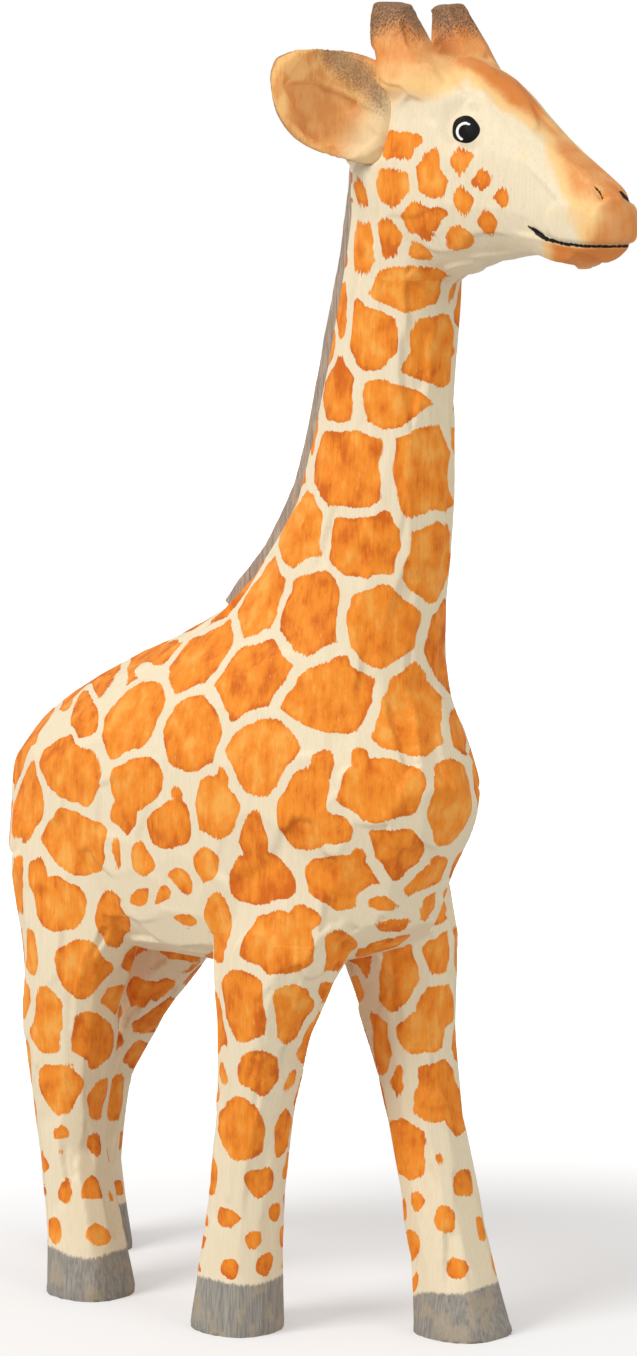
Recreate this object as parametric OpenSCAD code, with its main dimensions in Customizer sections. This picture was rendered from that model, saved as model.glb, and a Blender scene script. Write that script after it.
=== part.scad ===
// Carved giraffe figure, glued up from dowelled blocks of light wood.
// The giraffe faces +X, its left side is +Y, and it stands on z = 0.

/* [Blocks] */
// Height of the flat joints on top of the four legs
leg_h = 77; // [66:1:93]
// Height of the body block, from the leg joints to the neck joint
body_h = 71; // [59:1:86]
// Length of the body block, from rump to chest
body_l = 111; // [92:1:134]
// Width of the body block over the ribs
body_w = 47; // [42:1:57]
// Height of the neck block, from the body to the head
neck_h = 52; // [43:1:63]
// Length of the head, from the nape to the nose
head_l = 61; // [51:1:74]
// Width of the head over the eyes
head_w = 23; // [20:1:28]
// Height of the horns above the crown
horn_h = 12; // [8:0.5:15]

/* [Legs] */
// Distance between the centre lines of the left and right legs
stance_w = 26; // [24:0.5:32]
// Width of a hoof across the giraffe
hoof_w = 17; // [14:0.5:20]
// Length of a hoof along the giraffe
hoof_l = 18; // [15:0.5:22]
// Width of the tongue of body wood that stays between left and right legs
tongue_w = 5; // [3:0.5:8]

/* [Trims] */
// Width of the mane strip
mane_w = 5.5; // [4:0.5:7]
// Height of the mane strip above the back of the neck
mane_proud = 3.3; // [2:0.1:5]
// Depth of the groove that the mane strip is glued in
mane_sunk = 3; // [2:0.5:4]
// Length of an ear from its joint to its tip
ear_l = 19; // [15:0.5:23]
// Height of an ear
ear_h = 19; // [15:0.5:23]
// Thickness of an ear's shell
ear_t = 3.2; // [2.5:0.1:4]
// Length of the hanging tail
tail_l = 50; // [40:1:60]
// Width of the tail at its root
tail_w = 5; // [4:0.5:7]

/* [Dowels] */
// Diameter of the dowels in the leg and neck joints
dowel_d = 6; // [5:0.5:8]
// Length of the dowels in the leg and neck joints
dowel_l = 24; // [18:1:30]
// Diameter of the dowels in the head joint
head_dowel_d = 4; // [3:0.5:5]
// Length of the dowels in the head joint
head_dowel_l = 20; // [14:1:24]
// Least wood left between a dowel and the mane's groove or the front of the neck
dowel_wall = 1.5; // [1:0.5:2.5]
// Diameter of the pegs that hold the ears and the tail
peg_d = 3; // [2:0.5:4]
// Length of the pegs
peg_l = 8; // [6.5:0.5:9.5]
// Room left for glue at each end of a dowel or peg
glue_room = 1; // [0.5:0.5:2]

/* [Hidden] */

// Colours of the painted and the bare wood
cream = "#e6d3a8";
orange = "#d2792f";
grey = "#7d7c79";
bare_wood = "#d9bd8b";

// Sizes that the outlines below were drawn at
DRAWN_BODY_L = 111;
DRAWN_BODY_H = 71;
DRAWN_BODY_W = 47;
DRAWN_NECK_H = 52;
DRAWN_HEAD_L = 61;
DRAWN_HEAD_W = 23;
body_kx = body_l / DRAWN_BODY_L;
body_ky = body_w / DRAWN_BODY_W;
body_kz = body_h / DRAWN_BODY_H;
neck_kz = neck_h / DRAWN_NECK_H;
head_kx = head_l / DRAWN_HEAD_L;
head_ky = head_w / DRAWN_HEAD_W;

// Sides of every carved section, and rings added between two drawn ones
SIDES = 24;
LEG_SIDES = 16;
SMOOTH = 3;
$fn = 48;

neck_z = leg_h + body_h;
head_z = neck_z + neck_h;

// Sections of the body: height above the leg joints, rear, front and widest
// place along x, half width, squareness
BODY = [
    [-8.5, -36, -16, -26, 5, 2],
    [-6.5, -46, 6, -20, 13, 2],
    [-3, -57, 22, -17, 18, 2.2],
    [3, -66, 31, -18, 21, 2.3],
    [12, -70, 34, -20, 22.8, 2.4],
    [22, -70.5, 39, -16, 23.5, 2.4],
    [30, -68.5, 40, -12, 23.5, 2.3],
    [38, -60, 37.5, -6, 22.5, 2.1],
    [46, -46.5, 34, 1, 20.5, 2],
    [53, -30, 33, 8, 17.8, 2],
    [60, -16, 33.3, 12, 15.2, 2],
    [71, -4, 34.7, 16, 12.8, 2.1]
];
// Sections of the neck: height above its joint, rear and front along x, half
// width; those above neck_h are the root of the neck inside the head
NECK = [
    [0, -4, 34.7, 12.8],
    [12, 3.7, 35.4, 11.4],
    [24, 7.8, 35.8, 10.5],
    [38, 11.2, 36.2, 10],
    [52, 14.8, 37.8, 10],
    [62, 16.8, 39.5, 10],
    [72, 18.2, 38, 9],
    [80, 19.2, 34, 7]
];
// Sections across the head: distance ahead of the nape, underside and top
// above the neck joint, half width, squareness
HEAD = [
    [0, 13, 31, 6, 2],
    [3.5, 7, 36.5, 9.3, 2.1],
    [9.5, 3.5, 40, 11.4, 2.4],
    [17.5, 0.8, 41, 11.8, 2.5],
    [25.5, 1.2, 40, 11.8, 2.5],
    [32, 3.4, 36.8, 11, 2.4],
    [38, 4.6, 32.2, 9.8, 2.4],
    [43, 4.3, 27.9, 8.9, 2.4],
    [49, 2.6, 23.1, 8.2, 2.4],
    [55, 3.2, 19.2, 7.6, 2.3],
    [58.5, 5, 16.7, 6.2, 2.1],
    [61, 7.8, 13, 2.8, 2]
];
nape_x = 17.5 * body_kx;
// Sections of a horn: height above the crown, place along x, half length,
// half width
HORN = [
    [-5, 2.2, 9.3, 6],
    [0, 1.5, 8.1, 5.5],
    [5, -0.2, 6.1, 4.8],
    [10, -1.8, 4.3, 4],
    [12, -2.2, 3.3, 3.2]
];
crown_h = 38;
horn_x = 15;
horn_y = 8;

// Legs: height as a share of the leg, forward shift from the hoof, half length
// and half width as a share of the hoof, inward shift; rows above 1 lie in the body
FORE_RIGHT = [
    [0, 0, 0.49, 0.49, 0],
    [0.11, 0.6, 0.46, 0.46, 0],
    [0.32, 2.4, 0.4, 0.41, 0],
    [0.55, 4.8, 0.4, 0.42, 0],
    [0.72, 6.8, 0.48, 0.46, 0],
    [0.84, 8.8, 0.61, 0.51, 0],
    [0.94, 10.8, 0.76, 0.54, 0.3],
    [1.03, 12, 0.84, 0.56, 1.2],
    [1.14, 13.5, 0.8, 0.56, 2.6],
    [1.26, 14.5, 0.6, 0.5, 4.5]
];
FORE_LEFT = [
    [0, 0, 0.52, 0.52, 0],
    [0.11, -1.7, 0.46, 0.47, 0],
    [0.32, -5.6, 0.41, 0.42, 0],
    [0.55, -10, 0.41, 0.42, 0],
    [0.72, -13.2, 0.49, 0.46, 0],
    [0.84, -15.2, 0.6, 0.5, 0],
    [0.94, -16, 0.66, 0.54, 0.3],
    [1.03, -17.4, 0.76, 0.56, 1.2],
    [1.14, -19, 0.76, 0.56, 2.6],
    [1.26, -20, 0.6, 0.5, 4.5]
];
HIND_RIGHT = [
    [0, 0, 0.48, 0.48, 0],
    [0.1, -0.7, 0.44, 0.45, 0],
    [0.24, -2.7, 0.39, 0.4, 0],
    [0.37, -4.8, 0.36, 0.37, 0],
    [0.54, -5.2, 0.45, 0.42, 0],
    [0.68, -5, 0.56, 0.47, 0],
    [0.79, -3.8, 0.59, 0.5, 0],
    [0.9, -2.2, 0.72, 0.54, 0.3],
    [1.03, -1.6, 0.92, 0.57, 1],
    [1.2, -3, 1, 0.6, 2.4],
    [1.36, -4.5, 0.8, 0.5, 4.5]
];
HIND_LEFT = [
    [0, 0, 0.48, 0.48, 0],
    [0.1, -0.4, 0.44, 0.44, 0],
    [0.26, -0.6, 0.38, 0.38, 0],
    [0.42, 0.6, 0.42, 0.41, 0],
    [0.54, 3.4, 0.54, 0.45, 0],
    [0.66, 7.4, 0.7, 0.49, 0],
    [0.77, 11.6, 0.9, 0.52, 0],
    [0.88, 16.2, 1.04, 0.54, 0.3],
    [1.03, 22, 1.08, 0.56, 1],
    [1.2, 24, 1, 0.58, 2.4],
    [1.36, 23, 0.8, 0.5, 4.5]
];

// One row per leg: outline, hoof place along x, side (-1 right, 1 left)
LEGS = [
    [FORE_RIGHT, -4 * body_kx, -1],
    [FORE_LEFT, 30.5 * body_kx, 1],
    [HIND_RIGHT, -43.5 * body_kx, -1],
    [HIND_LEFT, -69.5 * body_kx, 1]
];
fore_cut_x = -11 * body_kx;
hind_cut_x = -27 * body_kx;
mid_cut_x = (fore_cut_x + hind_cut_x) / 2 - 4;

// Mane: starts at this height above the leg joints, has its full height from the
// next one, and ends at this height above the head joint
mane_from = 60;
mane_full = 63;
mane_to = 31;
// Tail: height of its root above the leg joints
tail_root_h = 34;
// Ears: place of the joint on the head, height above the head joint, sweep back
ear_x = 11;
ear_z = 31.5;
ear_sweep = 32;
ear_seat_y = 9.6 * head_ky;
// Sections of an ear: share of its length, of its half height, of its thickness,
// depth of the cup, rise of its middle
EAR = [
    [0, 0.95, 2.3, 0.2, -1.4],
    [0.14, 1.01, 2.1, 0.4, -0.8],
    [0.34, 1.02, 1.15, 2.6, 0.1],
    [0.58, 0.97, 1, 3, 0.9],
    [0.8, 0.84, 0.95, 2, 1.9],
    [0.94, 0.62, 0.9, 1, 3.2],
    [1, 0.4, 0.75, 0.4, 4.6]
];
// Length of a peg that is in the ear; the rest is in the head
peg_in_ear = 3;

// Catmull-Rom curve through four values
function curve(a, b, c, d, t) =
    0.5 * (2 * b + (c - a) * t + (2 * a - 5 * b + 4 * c - d) * t * t
    + (3 * b - a - 3 * c + d) * t * t * t);

// The drawn rows with smooth rows added between them
function smoothed(rows, steps = SMOOTH) = [
    for (i = [0:len(rows) - 2])
        for (k = [0:(i == len(rows) - 2 ? steps : steps - 1)])
            curve(rows[max(i - 1, 0)], rows[i], rows[i + 1],
                rows[min(i + 2, len(rows) - 1)], k / steps)
];

// One coordinate of a squared-off circle
function squared(v, squareness) = sign(v) * pow(abs(v), 2 / squareness);

// Level section: rear, front and widest place along x, half width across y
function level_section(z, rear, front, wide, half_w, squareness, y = 0, sides = SIDES) = [
    for (i = [0:sides - 1])
        let (c = cos(360 * i / sides), s = sin(360 * i / sides))
            [wide + (c > 0 ? front - wide : wide - rear) * squared(c, squareness),
            y + half_w * squared(s, squareness), z]
];

// Upright section across x: underside, top, half width
function upright_section(x, low, high, half_w, squareness, sides = SIDES) = [
    for (i = [0:sides - 1])
        let (c = cos(360 * i / sides), s = sin(360 * i / sides))
            [x, half_w * squared(c, squareness),
            (low + high) / 2 + (high - low) / 2 * squared(s, squareness)]
];

// Closed skin through sections that all have the same number of points
module skin(sections) {
    n = len(sections[0]);
    last = len(sections) - 1;
    polyhedron(
        points = [for (section = sections) for (p = section) p],
        faces = concat(
            [[for (i = [0:n - 1]) i]],
            [[for (i = [n - 1:-1:0]) last * n + i]],
            [for (k = [0:last - 1]) for (i = [0:n - 1])
                [k * n + i, (k + 1) * n + i, (k + 1) * n + (i + 1) % n]],
            [for (k = [0:last - 1]) for (i = [0:n - 1])
                [k * n + i, (k + 1) * n + (i + 1) % n, k * n + (i + 1) % n]]
        ),
        convexity = 6
    );
}

// Joins carved shapes into one faceted skin
module carved() {
    resize([0, 0, 0]) children();
}

// Whole body, before the leg seats and grooves are cut
module body_form() {
    skin([for (r = smoothed(BODY))
        level_section(leg_h + r[0] * body_kz, r[1] * body_kx, r[2] * body_kx,
            r[3] * body_kx, r[4] * body_ky, r[5])]);
}

// Neck up to the middle of the head
module neck_form() {
    skin([for (r = smoothed(NECK))
        level_section(neck_z + r[0] * (r[0] > DRAWN_NECK_H ? 1 : neck_kz)
            + (r[0] > DRAWN_NECK_H ? neck_h - DRAWN_NECK_H : 0),
            r[1] * body_kx, r[2] * body_kx, (r[1] + r[2]) / 2 * body_kx,
            r[3] * body_ky, 2.2)]);
}

// Head with both horns, on the root of the neck
module head_form() {
    skin([for (r = smoothed(HEAD))
        upright_section(nape_x + r[0] * head_kx, head_z + r[1], head_z + r[2],
            r[3] * head_ky, r[4])]);
    for (side = [-1, 1])
        skin([for (r = smoothed(HORN, 1))
            level_section(head_z + crown_h + r[0] * (r[0] > 0 ? horn_h / 12 : 1),
                nape_x + horn_x * head_kx + r[1] - r[2],
                nape_x + horn_x * head_kx + r[1] + r[2],
                nape_x + horn_x * head_kx + r[1],
                r[3], 2.2, side * horn_y * head_ky, LEG_SIDES)]);
}

// One leg, running up into the body
module leg_form(leg) {
    skin([for (r = smoothed(leg[0], 2))
        let (x = leg[1] + r[1] * body_kx, half_l = r[2] * hoof_l)
            level_section(r[0] * leg_h, x - half_l, x + half_l, x, r[3] * hoof_w, 2.4,
                leg[2] * (stance_w / 2 - r[4]), LEG_SIDES)]);
}

// Space below the leg joint that belongs to one leg: its seat in the body, and
// everything under the belly on its own side
module leg_space(leg) {
    reach = 200;
    fore = leg[1] > hind_cut_x;
    seat_x = fore ? fore_cut_x : hind_cut_x - reach;
    free_x = fore ? mid_cut_x : mid_cut_x - reach;
    y = leg[2] > 0 ? tongue_w / 2 : -tongue_w / 2 - reach;
    under_belly_z = leg_h + BODY[0][0] * body_kz - 0.5;
    translate([seat_x, y, -1])
        cube([reach, reach, leg_h + 1]);
    translate([free_x, y, -1])
        cube([reach, reach, under_belly_z + 1]);
}

// Mane strip with a rounded ridge
module mane_form() {
    low = [for (r = smoothed(BODY)) if (r[0] >= mane_from)
        [leg_h + r[0] * body_kz, r[1], r[0] < mane_full ? mane_proud / 2 : mane_proud]];
    mid = [for (r = smoothed(NECK)) if (r[0] > 0 && r[0] <= DRAWN_NECK_H)
        [neck_z + r[0] * neck_kz, r[1], mane_proud]];
    top = [for (r = smoothed(NECK)) if (r[0] > DRAWN_NECK_H && r[0] <= DRAWN_NECK_H + mane_to)
        [head_z + r[0] - DRAWN_NECK_H, r[1], mane_proud]];
    w = mane_w / 2;
    skin([for (r = concat(low, mid, top))
        let (x = r[1] * body_kx, z = r[0])
            [[x + mane_sunk, -w, z], [x + mane_sunk, w, z], [x - r[2] + 1, w, z],
            [x - r[2], w - 1, z], [x - r[2], 1 - w, z], [x - r[2] + 1, -w, z]]]);
}

// Right ear: a cupped leaf, swept back from its joint on the side of the head
module ear_form_right() {
    points_a_side = 8;
    skin([for (r = smoothed(EAR, 2))
        let (out = r[0] * ear_l * cos(ear_sweep), half_h = r[1] * ear_h / 2,
            half_t = r[2] * ear_t / 2 / cos(ear_sweep))
            [for (i = [0:2 * points_a_side - 1])
                let (v = -cos(180 * i / points_a_side),
                    face = (i < points_a_side ? 1 : -1) * sqrt(max(1 - v * v, 0)))
                    [nape_x + ear_x * head_kx - out * tan(ear_sweep)
                    + face * half_t - r[3] * (1 - v * v),
                    -ear_seat_y - out, head_z + ear_z + r[4] + half_h * v]]]);
}

module ear_form(side) {
    if (side < 0) ear_form_right();
    else mirror([0, 1, 0]) ear_form_right();
}

// Place of the rump's surface at one height; below the rump the tail hangs straight
function rump_x(z) =
    lookup(max((z - leg_h) / body_kz, 22), [for (r = BODY) [r[0], r[1] * body_kx]]);

// Slim tail, let a little into the rump, with a fuller tuft at its end
module tail_form() {
    rows = [
        [0, 0.25, 0.25],
        [0.1, 0.8, 0.95],
        [0.28, 0.9, 1.15],
        [0.45, 0.7, 0.75],
        [0.75, 0.75, 0.75],
        [1, 0.85, 1]
    ];
    root_z = leg_h + tail_root_h * body_kz;
    skin([for (r = smoothed(rows, 3))
        let (z = root_z - tail_l * (1 - r[0]), x = rump_x(z) - 1,
            half_t = r[1] * tail_w / 2, half_w = r[2] * tail_w / 2)
            level_section(z, x - half_t, x + half_t, x, half_w, 2.2, 0, LEG_SIDES)]);
}

// Round dowel along +Z with chamfered ends, centred on the joint
module dowel(d, l) {
    chamfer = 0.6;
    rotate_extrude()
        polygon([[0, -l / 2], [d / 2 - chamfer, -l / 2], [d / 2, -l / 2 + chamfer],
            [d / 2, l / 2 - chamfer], [d / 2 - chamfer, l / 2], [0, l / 2]]);
}

// Drilled hole that takes a dowel and the glue at its ends
module dowel_hole(d, l) {
    cylinder(d = d, h = l + 2 * glue_room, center = true);
}

// Rear and front of the neck at a height above its joint
function neck_rear(h) = lookup(h, [for (r = NECK) [r[0], r[1] * body_kx]]);
function neck_front(h) = lookup(h, [for (r = NECK) [r[0], r[2] * body_kx]]);

// Two dowels in a neck joint: one ahead of the mane's groove, one behind the front
function dowel_pair_x(joint_h, d, l) = [
    neck_rear(joint_h + l / 2 + glue_room) + mane_sunk + dowel_wall + d / 2,
    min(neck_front(joint_h), neck_front(max(joint_h - l / 2, 0))) - 2 * dowel_wall - d / 2
];

function leg_dowel_x(leg) =
    leg[1] + lookup(1, [for (r = leg[0]) [r[0], r[1]]]) * body_kx;

module at_leg_joint(leg) {
    translate([leg_dowel_x(leg), leg[2] * stance_w / 2, leg_h]) children();
}

module at_neck_joint() {
    for (x = dowel_pair_x(0, dowel_d, dowel_l)) translate([x, 0, neck_z]) children();
}

module at_head_joint() {
    for (x = dowel_pair_x(DRAWN_NECK_H, head_dowel_d, head_dowel_l))
        translate([x, 0, head_z]) children();
}

module at_ear_joint(side) {
    translate([nape_x + ear_x * head_kx, side * ear_seat_y, head_z + ear_z])
        rotate([90, 0, side < 0 ? -ear_sweep : 180 + ear_sweep])
            translate([0, 0, peg_in_ear - peg_l / 2]) children();
}

module at_tail_joint() {
    z = leg_h + (tail_root_h - peg_d * 1.6) * body_kz;
    translate([rump_x(z) + peg_l * 0.2, 0, z]) rotate([0, 90, 0]) children();
}

module torso() {
    color(orange)
    difference() {
        carved() difference() {
            union() {
                body_form();
                for (leg = LEGS) leg_form(leg);
            }
            for (leg = LEGS) leg_space(leg);
            mane_form();
            tail_form();
        }
        for (leg = LEGS) at_leg_joint(leg) dowel_hole(dowel_d, dowel_l);
        at_neck_joint() dowel_hole(dowel_d, dowel_l);
        at_tail_joint() dowel_hole(peg_d, peg_l);
    }
}

module neck() {
    color(orange)
    difference() {
        carved() difference() {
            neck_form();
            translate([-200, -200, head_z]) cube(400);
            mane_form();
        }
        at_neck_joint() dowel_hole(dowel_d, dowel_l);
        at_head_joint() dowel_hole(head_dowel_d, head_dowel_l);
    }
}

module head() {
    color(orange)
    difference() {
        carved() difference() {
            union() {
                head_form();
                neck_form();
            }
            translate([-200, -200, head_z - 400]) cube(400);
            mane_form();
            ear_form(-1);
            ear_form(1);
        }
        at_head_joint() dowel_hole(head_dowel_d, head_dowel_l);
        for (side = [-1, 1]) at_ear_joint(side) dowel_hole(peg_d, peg_l);
    }
}

module mane() {
    color(grey) mane_form();
}

module tail() {
    color(grey)
    difference() {
        tail_form();
        at_tail_joint() dowel_hole(peg_d, peg_l);
    }
}

// One leg below its joint, with the part of the belly that lies in its space
module leg(row) {
    color(cream)
    difference() {
        carved() intersection() {
            union() {
                body_form();
                leg_form(row);
            }
            leg_space(row);
        }
        at_leg_joint(row) dowel_hole(dowel_d, dowel_l);
    }
}

module foreleg_right() { leg(LEGS[0]); }
module foreleg_left() { leg(LEGS[1]); }
module hindleg_right() { leg(LEGS[2]); }
module hindleg_left() { leg(LEGS[3]); }

module ear(side) {
    color(orange)
    difference() {
        ear_form(side);
        at_ear_joint(side) dowel_hole(peg_d, peg_l);
    }
}

module ear_right() { ear(-1); }
module ear_left() { ear(1); }

module neck_dowels() {
    color(bare_wood) at_neck_joint() dowel(dowel_d, dowel_l);
}

module head_dowels() {
    color(bare_wood) at_head_joint() dowel(head_dowel_d, head_dowel_l);
}

module leg_dowel(row) {
    color(bare_wood) at_leg_joint(row) dowel(dowel_d, dowel_l);
}

module foreleg_dowel_right() { leg_dowel(LEGS[0]); }
module foreleg_dowel_left() { leg_dowel(LEGS[1]); }
module hindleg_dowel_right() { leg_dowel(LEGS[2]); }
module hindleg_dowel_left() { leg_dowel(LEGS[3]); }

module ear_peg(side) {
    color(bare_wood) at_ear_joint(side) dowel(peg_d, peg_l);
}

module ear_peg_right() { ear_peg(-1); }
module ear_peg_left() { ear_peg(1); }

module tail_peg() {
    color(bare_wood) at_tail_joint() dowel(peg_d, peg_l);
}

torso();
neck();
head();
mane();
tail();
foreleg_right();
foreleg_left();
hindleg_right();
hindleg_left();
ear_right();
ear_left();
neck_dowels();
head_dowels();
foreleg_dowel_right();
foreleg_dowel_left();
hindleg_dowel_right();
hindleg_dowel_left();
ear_peg_right();
ear_peg_left();
tail_peg();
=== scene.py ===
"""Carved and painted giraffe: knife facets, stained patches, mane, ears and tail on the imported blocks."""

import math

import bmesh
import bpy
import numpy as np
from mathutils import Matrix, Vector
from mathutils.bvhtree import BVHTree


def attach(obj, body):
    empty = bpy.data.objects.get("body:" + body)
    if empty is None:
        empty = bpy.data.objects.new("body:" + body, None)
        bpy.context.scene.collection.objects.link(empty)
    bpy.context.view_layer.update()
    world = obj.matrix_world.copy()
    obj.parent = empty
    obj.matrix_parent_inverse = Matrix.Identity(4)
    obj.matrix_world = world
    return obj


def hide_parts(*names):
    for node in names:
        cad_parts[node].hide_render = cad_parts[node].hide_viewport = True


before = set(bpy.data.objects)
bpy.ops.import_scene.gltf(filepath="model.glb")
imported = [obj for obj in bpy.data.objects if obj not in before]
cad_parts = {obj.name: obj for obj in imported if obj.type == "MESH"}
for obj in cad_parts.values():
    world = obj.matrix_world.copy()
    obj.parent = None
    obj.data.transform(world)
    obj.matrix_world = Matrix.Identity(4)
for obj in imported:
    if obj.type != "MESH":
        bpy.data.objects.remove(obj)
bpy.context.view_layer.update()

bl_info = {
    "name": "Carved giraffe",
    "version": (1, 0, 0),
    "blender": (4, 5, 0),
    "location": "View3D > Sidebar > Giraffe",
    "description": "Carves and paints a wooden giraffe over its blocks",
    "category": "Add Mesh",
}

MM = 0.001
MERGE = 1e-6

# Blocks that the knife went over once they were glued up, the dowels and pegs in them,
# and which of those each block holds
BLOCKS = (
    "torso", "neck", "head",
    "foreleg_right", "foreleg_left", "hindleg_right", "hindleg_left",
)
DOWELS = (
    "neck_dowels", "head_dowels",
    "foreleg_dowel_right", "foreleg_dowel_left",
    "hindleg_dowel_right", "hindleg_dowel_left",
    "ear_peg_right", "ear_peg_left", "tail_peg",
)
FILLS = {
    "torso": ("neck_dowels", "foreleg_dowel_right", "foreleg_dowel_left",
              "hindleg_dowel_right", "hindleg_dowel_left", "tail_peg"),
    "neck": ("neck_dowels", "head_dowels"),
    "head": ("head_dowels", "ear_peg_right", "ear_peg_left"),
    "foreleg_right": ("foreleg_dowel_right",),
    "foreleg_left": ("foreleg_dowel_left",),
    "hindleg_right": ("hindleg_dowel_right",),
    "hindleg_left": ("hindleg_dowel_left",),
}

# Joints between the blocks, in mm
LEG_JOINT_Z = 77
UNDER_BELLY_Z = 68
NECK_JOINT_Z = 148
HEAD_JOINT_Z = 200
TONGUE_HALF = 2.5
FORE_CUT_X = -11
HIND_CUT_X = -27
MID_CUT_X = -23

# Mouth line, along x and z in mm
MOUTH = ((62, 210.2), (65.5, 208), (69, 207.2), (73, 206.8), (79, 206.6))

# Where the patches' stencil is looked through, in mm and degrees: a quarter view of the
# right side, the same as the camera's
STENCIL_TARGET = (5.2, 0, 125)
STENCIL_ANGLE = 42
STENCIL_AWAY = 850
STENCIL_RISE = 100
# Camera, which stands where the stencil is looked through: film size in mm, length of the
# lens for each mm of film, how far below the stencil's middle it aims, in mm
SENSOR = 36
LENS_PER_SENSOR = 4532 / 1356
CAMERA_DIP = 0.57

# Places on the face, in mm on the stencil: offset across, height. FACE_TOP is the lower
# edge of the tan wash on the brow and the nose
EYE = (27.8, 228)
EYE_RING = (27.7, 227.6)
NOSTRIL = ((52, 217.3), (52.9, 216.4), (53.7, 214.9))
NOSTRIL_FAR = ((56.9, 216.4), (57.7, 215.4), (59, 214.4))
FACE_TOP = (
    (0, 236), (15, 236.5), (19, 238), (24, 238.3), (28.5, 237), (32, 234.2), (36, 231), (41, 227.6), (46, 224),
    (50, 220.6), (53, 217), (60, 210),
)
# Ears: distance of their seats from the middle, angle that they are swept back by
EAR_SEAT_Y = 9.6
EAR_SWEEP = 32
# Fold of an ear: distance out from its seat, height
EAR_FOLD = ((17, 234.6), (14, 236), (9.6, 236), (5.4, 233.7), (2, 230), (0, 226))

# Patches on the stencil, in mm: offset across, height, half width, half height, lean.
# Blobs of one tuple run together.
CHEEK = (
    ((15, 224.6, 3.2, 2.8, 0), (17.8, 226, 1.8, 1.5, 0)),
    ((14, 217.2, 3, 4.2, 0),),
    ((21.2, 218.7, 3.3, 4.2, 0),),
    ((26.4, 221.8, 2.3, 2.2, 0),),
    ((30.5, 218.4, 1.7, 1.9, 20),),
    ((34.3, 215.2, 1.3, 1.8, 10),),
    ((27.5, 214.3, 2.5, 2.5, 0),),
    ((31.4, 210.5, 1.8, 2.4, 0),),
    ((19.7, 211.2, 3.2, 3.6, 0),),
    ((26, 208, 2.8, 2.5, 0),),
    ((18.6, 205, 2.1, 2, 0),),
    ((13.5, 208, 2.5, 3.8, 10),),
    ((8, 215.5, 1.1, 3.2, 0),),
    ((8.5, 205.5, 2.7, 5.6, 0),),
)
NECK_PATCHES = (
    ((16.8, 198, 5.8, 4.2, 0),),
    ((25.4, 197.5, 1.6, 3.2, 0),),
    ((4.2, 193.5, 1.2, 6.3, -8),),
    ((10.5, 188.3, 5.4, 5.8, 0), (7.5, 194, 1.7, 2.2, 0)),
    ((21.5, 186.5, 4.9, 7, 0),),
    ((3.5, 178.5, 3, 6.6, -8),),
    ((14, 175.8, 6.8, 5.3, 0),),
    ((25.5, 175.5, 1, 3.4, 0),),
    ((-1.5, 167.5, 1, 6, -12),),
    ((5, 163.8, 5.7, 7.4, 0),),
    ((20, 164.5, 7, 8.5, 0), (24, 158, 2.5, 3, 0)),
    ((-3.7, 152.5, 2.8, 7.2, -22),),
    ((8, 149.6, 7.2, 6, 0), (12.5, 155, 2, 2, 0)),
    ((21, 146, 4.6, 6.9, -8),),
    ((-11.5, 139, 3.4, 6.8, -35),),
    ((-2, 137.5, 5.8, 8, 0), (-2, 145, 2, 2, 0)),
    ((12, 134, 7, 7.2, 0), (12.5, 140.5, 2, 2, 0)),
    ((23.3, 131, 2.5, 8, 0),),
)
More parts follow.
